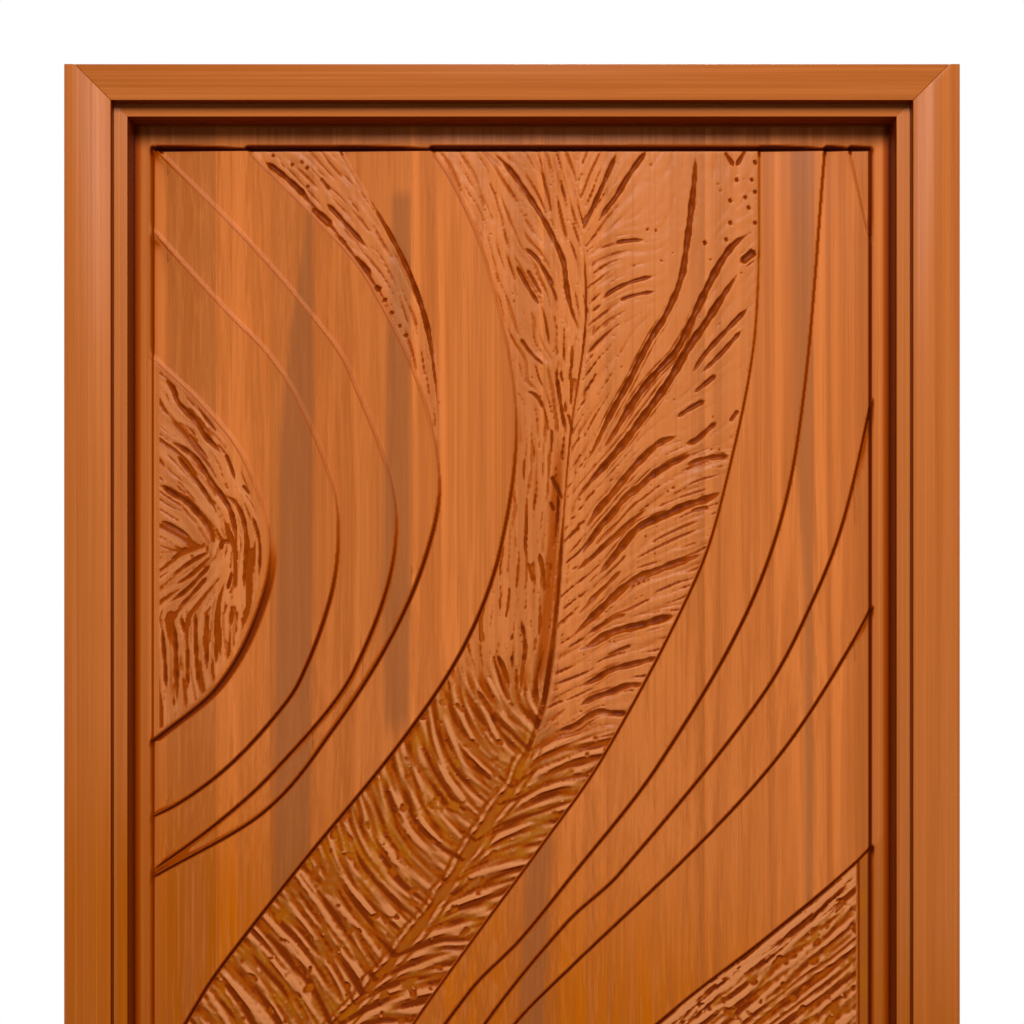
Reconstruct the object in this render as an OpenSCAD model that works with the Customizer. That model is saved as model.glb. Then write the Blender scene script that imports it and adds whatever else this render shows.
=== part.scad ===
// Carved teak door leaf hung in a rebated teak frame with a mitred front casing.
// Millimetres. X to the right seen from the carved side, Y away from that side, Z up from the floor.

/* [Frame] */
// Clear width between the jambs
clear_w = 944; // [930:1:960]
// Clear height from the floor to the head
clear_h = 2085; // [2000:5:2150]
// Face width of the jambs and head
frame_face = 50; // [46:1:56]
// Depth of the jambs and head, front to back
frame_depth = 100; // [98:1:115]
// Width of the rebate that the leaf closes into
rebate_w = 13; // [12:0.5:15]

/* [Casing] */
// Width of the side casings
casing_w = 57; // [48:1:75]
// Width of the casing over the head
casing_head_w = 44; // [38:1:46]
// Thickness of the casing
casing_t = 22; // [15:1:25]
// Strip of frame left showing inside the casing
reveal = 16; // [14:1:20]

/* [Leaf] */
// Thickness of the leaf
leaf_t = 45; // [42:1:48]
// Gap between the leaf and the rebate at the sides and top
edge_gap = 3; // [2.5:0.1:4]
// Gap between the leaf's face and the stop
stop_gap = 2; // [1:0.5:3]
// Gap under the leaf
floor_gap = 8; // [4:1:15]
// Plain border at the leaf's sides
border_side = 30; // [26:1:36]
// Plain border at the leaf's top and bottom
border_end = 38; // [30:1:45]

/* [Carving] */
// Depth of the deepest ground under the border
carve_floor = 10; // [9:0.5:12]
// Depth of each plain band at its low edge
band_low = 7.5; // [5:0.5:8]
// Depth of each plain band at its high edge
band_high = 0.8; // [0.4:0.1:2]
// Depth of the feather at its left edge
feather_low = 6.5; // [5:0.5:7.5]
// Depth of the feather at its right edge
feather_high = 4; // [3:0.5:5]
// Depth of the cut gouges
gouge_deep = 2.6; // [1:0.2:2.8]
// Half width of the cut gouges
gouge_half_w = 3; // [2:0.25:4]
// Width of the flat strip between a leaf's gouges and the border
leaf_strip = 13; // [10:1:18]

/* [Hinges] */
// Length of each hinge
hinge_l = 125; // [115:1:140]
// Width of each hinge plate from the frame's back face
plate_w = 35; // [32:1:38]
// Thickness of each hinge plate
plate_t = 3; // [2.5:0.1:3.5]
// Radius of the knuckles
knuckle_r = 6; // [5.6:0.1:6.5]
// Radius of the hinge pins
pin_r = 3; // [2.5:0.1:3.2]
// Running clearance round the pins
pin_clear = 0.06; // [0.04:0.01:0.09]
// Gap between neighbouring knuckles
knuckle_gap = 0.3; // [0.2:0.1:0.6]
// Height of the lowest hinge's middle
hinge_low_z = 250; // [200:5:300]
// Distance of the top hinge's middle below the leaf's top
hinge_top_drop = 210; // [150:5:260]
// Length of the hinge screws
screw_l = 32; // [25:1:34]
// Radius of the hinge screws
screw_r = 2.25; // [2:0.05:2.5]

/* [Fixings] */
// Radius of the wall fixing holes
fix_r = 4; // [3:0.25:5]
// Radius of the sinking for the fixing's head
fix_head_r = 9; // [7:0.5:11]
// Depth of that sinking
fix_head_t = 6; // [4:0.5:9]
// Height of the middle of the fixing holes
fix_mid_z = 1050; // [1040:5:1060]
// Height between the outer pair of fixing holes
fix_outer_gap = 1200; // [1150:10:1250]
// Height between the inner pair of fixing holes
fix_inner_gap = 400; // [360:10:440]
// Radius of the corner dowels
dowel_r = 5; // [4:0.5:5.5]
// Length of the corner dowels
dowel_l = 40; // [30:1:40]

/* [Hidden] */
$fn = 48;
eps = 0.01;

// Clearances: round screws and hinge plates, round dowels, behind plates and between knuckles and plates
hole_clear = 0.2;
dowel_clear = 0.05;
seat_clear = 0.05;
knuckle_clear = 0.4;
plate_hole_clear = 0.1;

// Derived sizes, across
half_clear = clear_w / 2;
half_rebate = half_clear + rebate_w;
half_frame = half_clear + frame_face;
half_case_in = half_clear + reveal;
half_case_out = half_case_in + casing_w;
leaf_w = 2 * (half_rebate - edge_gap);
half_leaf = leaf_w / 2;
half_field = half_leaf - border_side;

// Derived sizes, up
case_in_z = clear_h + reveal;
case_top_z = case_in_z + casing_head_w;
frame_top_z = clear_h + frame_face;
leaf_top_z = clear_h + rebate_w - edge_gap;
field_top = leaf_top_z - border_end;
field_bot = floor_gap + border_end;

// Derived sizes, front to back, with the middle of the whole depth at zero
knuckle_off = knuckle_r + 0.5;
depth_all = casing_t + frame_depth + knuckle_off + knuckle_r;
y_case = -depth_all / 2;
y_front = y_case + casing_t;
y_back = y_front + frame_depth;
y_face = y_back - leaf_t;
y_stop = y_face - stop_gap;
y_pin = y_back + knuckle_off;
x_pin = -half_leaf - edge_gap / 2;

// Hinge heights and the places of the screws on a plate, as [out from the back face, up from the middle]
hinge_z = [leaf_top_z - hinge_top_drop, (leaf_top_z - hinge_top_drop + hinge_low_z) / 2, hinge_low_z];
screw_at = [[10, -0.38], [24, -0.13], [10, 0.13], [24, 0.38]];
head_r = 2 * screw_r;
head_t = head_r - screw_r;
screw_point_l = 3;
pin_head_r = knuckle_r - 1;
pin_head_t = 3;
pin_head_ease = 0.6;
fix_y = y_back - (y_back - y_stop) / 2;

// The sheet that the carved curves are drawn on: its half width, its height and its top
drawn = [452, 2011, 2057];

// Carved curves, each a run of [x, z] points from top to bottom
half_leaf_edge = [[-466, 1816], [-447, 1793], [-391, 1740], [-337, 1671], [-303, 1559], [-322, 1465],
  [-372, 1377], [-444, 1317], [-466, 1302]];
curve_a = [[-491, 2000], [-351, 1846], [-312, 1807], [-274, 1753], [-229, 1649], [-218, 1582], [-227, 1496],
  [-267, 1387], [-302, 1338], [-357, 1280], [-419, 1234], [-479, 1205]];
curve_b = [[-479, 2089], [-336, 1946], [-247, 1843], [-204, 1779], [-145, 1590], [-198, 1401], [-300, 1273],
  [-377, 1204], [-479, 1131]];
curve_c = [[-366, 2089], [-214, 1936], [-178, 1888], [-117, 1763], [-91, 1640], [-108, 1545], [-152, 1442],
  [-224, 1328], [-312, 1223], [-445, 1145], [-479, 1128]];
crescent_edge = [[-238, 2091], [-143, 1927], [-113, 1852], [-96, 1775], [-94, 1678], [-103, 1653]];
feather_left = [[-128, 2091], [-74, 2014], [-30, 1908], [5, 1723], [-15, 1552], [-61, 1430], [-139, 1312],
  [-266, 1156], [-357, 1040], [-387, 997], [-485, 826]];
feather_rib = [[76, 2091], [95, 1859], [75, 1694], [46, 1381], [11, 1274], [-30, 1210], [-123, 1071],
  [-291, 869], [-416, 700], [-479, 587]];
feather_right = [[311, 2091], [305, 1824], [267, 1630], [231, 1516], [115, 1293], [36, 1179], [-51, 1060],
  [-123, 958], [-259, 750], [-385, 493], [-472, 237]];
corner_edge = [[415, 2091], [447, 1953], [467, 1891]];
curve_e = [[396, 2091], [357, 1681], [302, 1490], [182, 1280], [71, 1138], [9, 1062], [-51, 1001],
  [-155, 853], [-228, 732], [-351, 468], [-472, 124]];
curve_f = [[467, 1816], [420, 1604], [383, 1501], [313, 1368], [133, 1144], [71, 1087], [-30, 963],
  [-187, 725], [-311, 450], [-358, 305], [-416, 42]];
curve_g = [[474, 1527], [425, 1432], [342, 1303], [241, 1189], [71, 1026], [4, 958], [-78, 844], [-153, 710],
  [-216, 569], [-268, 418], [-311, 262], [-347, 42]];
low_leaf_top = [[474, 1208], [430, 1159], [318, 1065], [211, 982], [79, 866], [-9, 763], [-84, 644],
  [-143, 512], [-188, 368], [-223, 211], [-243, 42]];
low_leaf_rib = [[474, 1082], [310, 958], [223, 884], [138, 794], [60, 681], [-3, 556], [-53, 412], [-90, 249],
  [-115, 42]];
low_leaf_bot = [[474, 838], [288, 644], [213, 531], [155, 406], [113, 255], [85, 42]];
curve_h = [[474, 650], [380, 525], [316, 406], [269, 262], [243, 42]];
curve_i = [[474, 418], [452, 381], [404, 274], [376, 161], [365, 42]];
off_left = [[-470, 2100], [-470, 0]];
off_right = [[470, 2100], [470, 0]];

// The drawn field is stretched to the real one
kx = half_field / drawn.x;
kz = (field_top - field_bot) / drawn.y;

// Smooth curve through the points: x at a drawn height z
function slope(c, i) = let(a = max(i - 1, 0), b = min(i + 1, len(c) - 1))
  (c[b].x - c[a].x) / (c[b].y - c[a].y);
function span_of(c, z, i = 0) = i >= len(c) - 2 || z >= c[i + 1].y ? i : span_of(c, z, i + 1);
function hermite(c, z, i) = let(h = c[i + 1].y - c[i].y, t = (z - c[i].y) / h)
  c[i].x * (1 + 2 * t) * (1 - t) * (1 - t) + c[i + 1].x * t * t * (3 - 2 * t)
  + h * t * (1 - t) * (slope(c, i) * (1 - t) - slope(c, i + 1) * t);
function at(c, z) = let(last = c[len(c) - 1])
  z >= c[0].y ? c[0].x : z <= last.y ? last.x : hermite(c, z, span_of(c, z));
function left_of(cs, z) = max([for (c = cs) max(-drawn.x - 2, at(c, z))]);
function right_of(cs, z) = min([for (c = cs) min(drawn.x + 2, at(c, z))]);

// A drawn point at a depth below the border, as a place on the leaf
function place(x, z, d) = [x * kx, y_face + d, field_top + (z - drawn.z) * kz];

// Convex solid on a handful of points
module lump(pts) hull() polyhedron(pts, [[for (i = [0:len(pts) - 1]) i]]);

// One plain band: low at its left curves, rising to its right curves, then a short steep step
row_gap = 36;
row_top = drawn.z + 4;
function row_z(i) = row_top - row_gap * i;
module band(left, right, z_hi, z_lo, low, high) {
  under = 3;
  draft = 1;
  function row(i) = let(z = row_z(i), r = right_of(right, z), l = min(left_of(left, z), r - 0.5))
    [place(l - under, z, low), place(r, z, high), place(r + draft, z, carve_floor + 1),
      place(l - under, z, carve_floor + 1)];
  first = floor((row_top - z_hi) / row_gap);
  last = ceil((row_top - z_lo) / row_gap) - 1;
  for (i = [first:last]) lump(concat(row(i), row(i + 1)));
}

// Raised half leaf beside the left border, with a rounded rim
half_leaf_d = 1.5;
module half_leaf_body() {
  z_hi = 1800;
  z_lo = 1309;
  n = 22;
  rim = 7;
  back = -drawn.x - 4;
  function row(i) = let(z = z_hi - (z_hi - z_lo) * i / n, r = max(at(half_leaf_edge, z), -drawn.x - 0.5))
    [place(back, z, half_leaf_d), place(max(r - rim, back + 0.5), z, half_leaf_d),
      place(r - rim * 0.25, z, 2.6), place(r, z, 5),
      place(r, z, carve_floor + 1), place(back, z, carve_floor + 1)];
  for (i = [0:n - 1]) lump(concat(row(i), row(i + 1)));
}

// Rib down the middle of a feather, standing proud of it
rib_tall = 1.4;
rib_half_w = 6;
module rib(curve, z_hi, z_lo, base, tall, wide, step = 40) {
  n = ceil((z_hi - z_lo) / step);
  function row(i) = let(z = z_hi - (z_hi - z_lo) * i / n, x = at(curve, z), w = wide * (0.6 + 0.4 * i / n))
    [place(x - w, z, base + 1), place(x, z, base - tall), place(x + w, z, base + 1)];
  for (i = [0:n - 1]) lump(concat(row(i), row(i + 1)));
}

// A gouge cut along a bent line from p to q, bulging by bow, in a surface at depth d
module gouge(p, q, bow, d, wide = 1, parts = 3) {
  side = [q.y - p.y, p.x - q.x] / norm(q - p);
  above = 3;
  function spot(t) = p + (q - p) * t + side * (4 * bow * t * (1 - t));
  function heading(t) = let(v = (q - p) + side * (4 * bow * (1 - 2 * t))) [v.y, -v.x] / norm(v);
  function fullness(t) = 0.35 + 0.65 * sin(180 * (0.12 + 0.8 * t));
  function cut(i) = let(t = i / parts, c = spot(t), s = heading(t), f = fullness(t),
      g = gouge_deep * f, w = gouge_half_w * wide * f * (g + above) / g)
    [place(c.x, c.y, d + g), place(c.x + s.x * w, c.y + s.y * w, d - above),
      place(c.x - s.x * w, c.y - s.y * w, d - above)];
  for (i = [0:parts - 1]) lump(concat(cut(i), cut(i + 1)));
}

// Depth of the feather's face at a drawn point
function feather_d(x, z) = let(l = at(feather_left, z), r = at(feather_right, z))
  feather_low + (feather_high - feather_low) * min(1, max(0, (x - l) / (r - l)));
function low_leaf_d(x, z) = let(l = at(low_leaf_top, z), r = min(drawn.x, at(low_leaf_bot, z)))
  feather_low + (feather_high - feather_low) * min(1, max(0, (x - l) / (r - l)));

// Long gouges near the feather's tip, each [start, end, bulge], cut one by one
feather_fan = [[[80, 1612], [298, 1947], 12], [[101, 1686], [232, 2050], 30], [[131, 1665], [297, 1922], 12],
  [[88, 1953], [132, 2050], 3], [[110, 1970], [164, 2050], 3], [[-24, 2050], [73, 1857], -22]];

// Barbs of the big feather, sweeping up and out from its rib on both sides
barbs = 20;
module feather_gouges() {
  for (g = feather_fan) gouge(g[0], g[1], g[2], feather_d(g[0].x, g[0].y), 1.1, 4);
  for (i = [0:barbs - 1]) {
    t = i / (barbs - 1);
    z = 1600 - 780 * t;
    far = z + 95 - 48 * t;
    p = [at(feather_rib, z) + 9, z];
    q = [at(feather_right, far) - 10 - (i % 3) * 12, far];
    m = (p + q) / 2;
    gouge(p, q, -0.08 * norm(q - p), feather_d(m.x, m.y));
  }
  for (i = [0:barbs]) {
    t = i / barbs;
    z = 1790 - 1010 * t;
    far = z + 112;
    p = [at(feather_rib, z) - 8, z];
    reach = 0.6 + 0.25 * t - 0.08 * (i % 2);
    q = [at(feather_rib, far) + reach * (at(feather_left, far) - at(feather_rib, far)), far];
    m = (p + q) / 2;
    gouge(p, q, -0.14 * norm(q - p), feather_d(m.x, m.y));
  }
}

// Gouges of the half leaf, bent along its rim in the upper part and upright below
module half_leaf_gouges() {
  for (i = [1:5]) {
    f = 1 - i / 6;
    p = [-drawn.x + leaf_strip + 12 * (1 - f), 1570 + 200 * f];
    q = [-435 + 122 * f, 1556];
    gouge(p, q, -38 * f, half_leaf_d, 1, 4);
  }
  for (i = [0:6]) gouge([-430 + 18 * i, 1530 - 2 * i], [-430 + 16 * i, 1362 + 16 * i], -4, half_leaf_d);
}

// Gouges along the crescent
module crescent_gouges() {
  for (i = [0:6]) {
    z = 2040 - 48 * i;
    a = at(curve_c, z);
    b = at(crescent_edge, z - 60);
    gouge([a + (b - a) * 0.25, z], [a + (b - a) * 0.85, z - 70], 3, band_low - 1, 0.9, 2);
  }
}

// Barbs of the lower leaf on both sides of its rib
low_barbs = 18;
module low_leaf_gouges() {
  for (i = [0:low_barbs - 1]) {
    t = i / (low_barbs - 1);
    z = 1045 - 940 * t;
    rise = 12 + 60 * t;
    p = [min(at(low_leaf_rib, z) - 6, 436), z];
    q = [at(low_leaf_top, z + rise) + 14, z + rise];
    m = (p + q) / 2;
    gouge(p, q, -0.08 * norm(q - p), low_leaf_d(m.x, m.y));
  }
  for (i = [0:low_barbs - 1]) {
    t = i / (low_barbs - 1);
    z = 930 - 830 * t;
    rise = 70 + 40 * t;
    p = [at(low_leaf_rib, z) + 8, z];
    q = [min(at(low_leaf_bot, z + rise) - 14, drawn.x - leaf_strip), z + rise];
    m = (p + q) / 2;
    gouge(p, q, 0.1 * norm(q - p), low_leaf_d(m.x, m.y));
  }
}

// Every carved form that stands on the ground of the field
module carved_forms() {
  top = 2060;
  bot = 43;
  band([half_leaf_edge, off_left], [curve_a], 1985, 1210, band_low, band_high);
  half_leaf_body();
  band([curve_a, off_left], [curve_b], top, 1150, band_low, band_high);
  band([curve_b, off_left], [curve_c], top, 1145, band_low, band_high);
  band([curve_c], [crescent_edge], top, 1690, band_low - 1, band_low - 2.5);
  band([curve_c, crescent_edge], [feather_left], top, 1665, band_low, band_high);
  band([curve_c, off_left], [feather_left], 1665, 860, band_low, band_high);
  band([feather_left, off_left], [feather_right], top, 290, feather_low, feather_high);
  band([feather_right, off_left], [curve_e], top, 170, band_low, band_high);
  band([curve_e, off_left], [corner_edge, curve_f], top, bot, band_low, band_high);
  band([corner_edge], [off_right], top, 1935, band_low, band_high);
  band([curve_f], [curve_g], 1800, bot, band_low, band_high);
  band([curve_g], [low_leaf_top], 1510, bot, band_low, band_high);
  band([low_leaf_top], [low_leaf_bot], 1190, bot, feather_low, feather_high);
  band([low_leaf_bot], [curve_h], 820, bot, band_low, band_high);
  band([curve_h], [curve_i], 630, bot, band_low, band_high);
  band([curve_i], [off_right], 405, bot, band_low, band_high);
  rib(feather_rib, top, 640, (feather_low + feather_high) / 2, rib_tall, rib_half_w);
  rib(low_leaf_rib, 1060, bot, (feather_low + feather_high) / 2, rib_tall, rib_half_w);
}

// A box from one corner to the opposite one
module block(a, b) translate(a) cube(b - a);

// The slab of glued staves with its carving
module carved_slab() {
  difference() {
    union() {
      difference() {
        block([-half_leaf, y_face, floor_gap], [half_leaf, y_back, leaf_top_z]);
        block([-half_field, y_face - 1, field_bot], [half_field, y_face + carve_floor, field_top]);
      }
      intersection() {
        carved_forms();
        block([-half_field - eps, y_face, field_bot - eps],
          [half_field + eps, y_face + carve_floor + eps, field_top + eps]);
      }
    }
    feather_gouges();
    half_leaf_gouges();
    crescent_gouges();
    low_leaf_gouges();
  }
}

module leaf_slab() color([0.72, 0.42, 0.2]) difference() {
  carved_slab();
  leaf_gains();
}

// Sinkings for the hinge plates and pilot holes in the edge of the leaf
module leaf_gains() {
  for (z = hinge_z) {
    block([-half_leaf - 1, y_back - plate_w - hole_clear, z - hinge_l / 2 - hole_clear],
      [-half_leaf + plate_t + seat_clear, y_back + 1, z + hinge_l / 2 + hole_clear]);
    for (s = screw_at)
      translate([-half_leaf, y_back - s.x, z + s.y * hinge_l]) rotate([0, 90, 0])
        cylinder(r = screw_r + hole_clear, h = screw_l + 1, $fn = 12);
  }
}

// Front view outline extruded to a depth: points are [x, z]
module board(pts, y_from, y_to)
  translate([0, y_to, 0]) rotate([90, 0, 0]) linear_extrude(y_to - y_from) polygon(pts);

// Jamb on the hinge side: mitred at the head, rebated at the back, drilled for the wall
module jamb_plain() {
  difference() {
    board([[-half_frame, 0], [-half_clear, 0], [-half_clear, clear_h], [-half_frame, frame_top_z]],
      y_front, y_back);
    block([-half_rebate, y_stop, -1], [0, y_back + 1, frame_top_z + 1]);
    for (z = [-fix_outer_gap, -fix_inner_gap, fix_inner_gap, fix_outer_gap] / 2)
      translate([-half_rebate, fix_y, fix_mid_z + z]) rotate([0, -90, 0]) {
        translate([0, 0, -1]) cylinder(r = fix_r, h = frame_face);
        translate([0, 0, -1]) cylinder(r = fix_head_r, h = fix_head_t + 1);
      }
    dowel_pair(dowel_clear);
  }
}

// Two dowels square to the mitre at the left corner, each a set way behind the front or the stop
dowel_front = 20;
dowel_back = 12;
dowel_u = (half_rebate + half_frame) / 2;
dowel_v = clear_h + dowel_u - half_clear;
module dowel_pair(grow) {
  for (y = [y_front + dowel_front, y_stop + dowel_back])
    translate([-dowel_u, y, dowel_v]) rotate([0, -135, 0])
      cylinder(r = dowel_r + grow, h = dowel_l + 2 * grow, center = true);
}

module jamb_left() color([0.66, 0.37, 0.17]) difference() {
  jamb_plain();
  for (z = hinge_z) {
    block([-half_rebate - plate_t - seat_clear, y_back - plate_w - hole_clear, z - hinge_l / 2 - hole_clear],
      [-half_rebate + 1, y_back + 1, z + hinge_l / 2 + hole_clear]);
    for (s = screw_at)
      translate([-half_rebate, y_back - s.x, z + s.y * hinge_l]) rotate([0, -90, 0])
        cylinder(r = screw_r + hole_clear, h = screw_l + 1);
  }
}

module jamb_right() color([0.66, 0.37, 0.17]) mirror([1, 0, 0]) jamb_plain();

module frame_head() color([0.66, 0.37, 0.17]) difference() {
  board([[-half_clear, clear_h], [half_clear, clear_h], [half_frame, frame_top_z],
    [-half_frame, frame_top_z]], y_front, y_back);
  block([-half_frame - 1, y_stop, clear_h - 1], [half_frame + 1, y_back + 1, clear_h + rebate_w]);
  dowel_pair(dowel_clear);
  mirror([1, 0, 0]) dowel_pair(dowel_clear);
}

module corner_dowels() color([0.78, 0.58, 0.36]) {
  dowel_pair(0);
  mirror([1, 0, 0]) dowel_pair(0);
}

// Casing legs run to the top and are mitred from the inner corner
module casing_leg() board([[-half_case_out, 0], [-half_case_in, 0], [-half_case_in, case_in_z],
  [-half_case_in - casing_head_w, case_top_z], [-half_case_out, case_top_z]], y_case, y_front);

module casing_left() color([0.7, 0.4, 0.19]) casing_leg();
module casing_right() color([0.7, 0.4, 0.19]) mirror([1, 0, 0]) casing_leg();
module casing_head() color([0.7, 0.4, 0.19])
  board([[-half_case_in, case_in_z], [half_case_in, case_in_z], [half_case_in + casing_head_w, case_top_z],
    [-half_case_in - casing_head_w, case_top_z]], y_case, y_front);

// Hinges: five knuckles on a pin, odd ones on the frame plate, even ones on the leaf plate
module knuckles(z, first) {
  for (k = [first:2:4])
    translate([x_pin, y_pin, z - hinge_l / 2 + k * hinge_l / 5 + knuckle_gap / 2])
      cylinder(r = knuckle_r, h = hinge_l / 5 - knuckle_gap);
}

module knuckle_room(z, first) {
  for (k = [first:2:4])
    translate([x_pin, y_pin, z - hinge_l / 2 + k * hinge_l / 5 - knuckle_gap / 2])
      cylinder(r = knuckle_r + knuckle_clear, h = hinge_l / 5 + knuckle_gap);
}

// Plate whose face lies on the plane x, with its wood on the side given by dir
module hinge_half(z, x, dir, first) color([0.72, 0.6, 0.32]) difference() {
  union() {
    difference() {
      block([min(x, x + dir * plate_t), y_back - plate_w, z - hinge_l / 2],
        [max(x, x + dir * plate_t), y_pin, z + hinge_l / 2]);
      knuckle_room(z, 1 - first);
    }
    knuckles(z, first);
  }
  translate([x_pin, y_pin, z - hinge_l]) cylinder(r = pin_r + pin_clear, h = 2 * hinge_l);
  for (s = screw_at) translate([x, y_back - s.x, z + s.y * hinge_l]) rotate([0, 90 * dir, 0]) {
    translate([0, 0, -1]) cylinder(r = screw_r + plate_hole_clear, h = plate_t + 2);
    translate([0, 0, -plate_hole_clear])
      cylinder(r1 = head_r + hole_clear, r2 = screw_r + plate_hole_clear, h = head_t + plate_hole_clear);
  }
}

module hinge_frame(i) hinge_half(hinge_z[i], -half_rebate, -1, 0);
module hinge_leaf(i) hinge_half(hinge_z[i], -half_leaf, 1, 1);

// Pin with an eased head at each end, just clear of the knuckles
pin_end_clear = 0.1;
module hinge_pin(i) {
  all_l = hinge_l + 2 * pin_head_t;
  inner = pin_head_t - pin_end_clear;
  color([0.75, 0.63, 0.35]) translate([x_pin, y_pin, hinge_z[i] - all_l / 2]) rotate_extrude()
    polygon([[0, 0], [pin_head_r - 0.5, 0], [pin_head_r, pin_head_ease], [pin_head_r, inner],
      [pin_r, inner], [pin_r, all_l - inner], [pin_head_r, all_l - inner],
      [pin_head_r, all_l - pin_head_ease], [pin_head_r - 0.5, all_l], [0, all_l]]);
}

// Countersunk screws through every plate on one side
module screws(x, dir) color([0.7, 0.58, 0.3]) for (z = hinge_z) for (s = screw_at)
  translate([x, y_back - s.x, z + s.y * hinge_l]) rotate([0, 90 * dir, 0]) rotate_extrude()
    polygon([[0, seat_clear], [head_r, seat_clear], [screw_r, head_t + seat_clear],
      [screw_r, screw_l - screw_point_l], [0.4, screw_l], [0, screw_l]]);

module frame_screws() screws(-half_rebate, -1);
module leaf_screws() screws(-half_leaf, 1);

module hinge_frame_top() hinge_frame(0);
module hinge_frame_mid() hinge_frame(1);
module hinge_frame_low() hinge_frame(2);
module hinge_leaf_top() hinge_leaf(0);
module hinge_leaf_mid() hinge_leaf(1);
module hinge_leaf_low() hinge_leaf(2);
module hinge_pin_top() hinge_pin(0);
module hinge_pin_mid() hinge_pin(1);
module hinge_pin_low() hinge_pin(2);

jamb_left();
jamb_right();
frame_head();
casing_left();
casing_right();
casing_head();
corner_dowels();
leaf_slab();
hinge_frame_top();
hinge_frame_mid();
hinge_frame_low();
hinge_leaf_top();
hinge_leaf_mid();
hinge_leaf_low();
hinge_pin_top();
hinge_pin_mid();
hinge_pin_low();
frame_screws();
leaf_screws();
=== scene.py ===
"""Looks of a carved teak door: a leaf of upright staves with a cut feather, in a frame with a casing."""
import functools
import math

import bpy
import numpy as np
from bpy.props import FloatProperty, FloatVectorProperty, IntProperty, PointerProperty
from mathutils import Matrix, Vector


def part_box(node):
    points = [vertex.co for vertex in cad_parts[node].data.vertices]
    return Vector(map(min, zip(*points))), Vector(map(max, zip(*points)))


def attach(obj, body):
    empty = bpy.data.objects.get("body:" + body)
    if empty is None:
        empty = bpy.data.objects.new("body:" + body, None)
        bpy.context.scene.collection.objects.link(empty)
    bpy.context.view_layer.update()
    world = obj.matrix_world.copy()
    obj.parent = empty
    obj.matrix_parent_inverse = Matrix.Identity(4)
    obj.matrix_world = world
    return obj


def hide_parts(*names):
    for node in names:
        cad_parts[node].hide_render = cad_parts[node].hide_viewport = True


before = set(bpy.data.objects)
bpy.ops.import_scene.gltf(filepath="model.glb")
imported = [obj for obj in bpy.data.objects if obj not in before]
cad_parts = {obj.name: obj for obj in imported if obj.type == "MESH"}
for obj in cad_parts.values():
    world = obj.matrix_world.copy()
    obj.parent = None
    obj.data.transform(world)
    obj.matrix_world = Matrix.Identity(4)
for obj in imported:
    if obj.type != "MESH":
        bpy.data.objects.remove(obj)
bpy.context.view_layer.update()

bl_info = {
    "name": "Carved teak door",
    "version": (1, 0, 0),
    "blender": (4, 5, 0),
    "location": "View3D > Sidebar > Door",
    "description": "Builds the looks of a carved teak door around its CAD frame",
    "category": "Object",
}

# Millimetres in a metre.
MM = 1000.0

# Cells along each side of a block of the carved surface, which is one face where it is plain.
BLOCK = 4

# The leaf's box in millimetres, from the CAD node it stands for.
LEAF_LOW, LEAF_HIGH = ([c * MM for c in corner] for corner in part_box("leaf_slab"))

# Half width of the carved field, and its lowest and highest line.
FIELD_HALF = 452.0
FIELD_LOW = 46.0
FIELD_TOP = 2057.0

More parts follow.
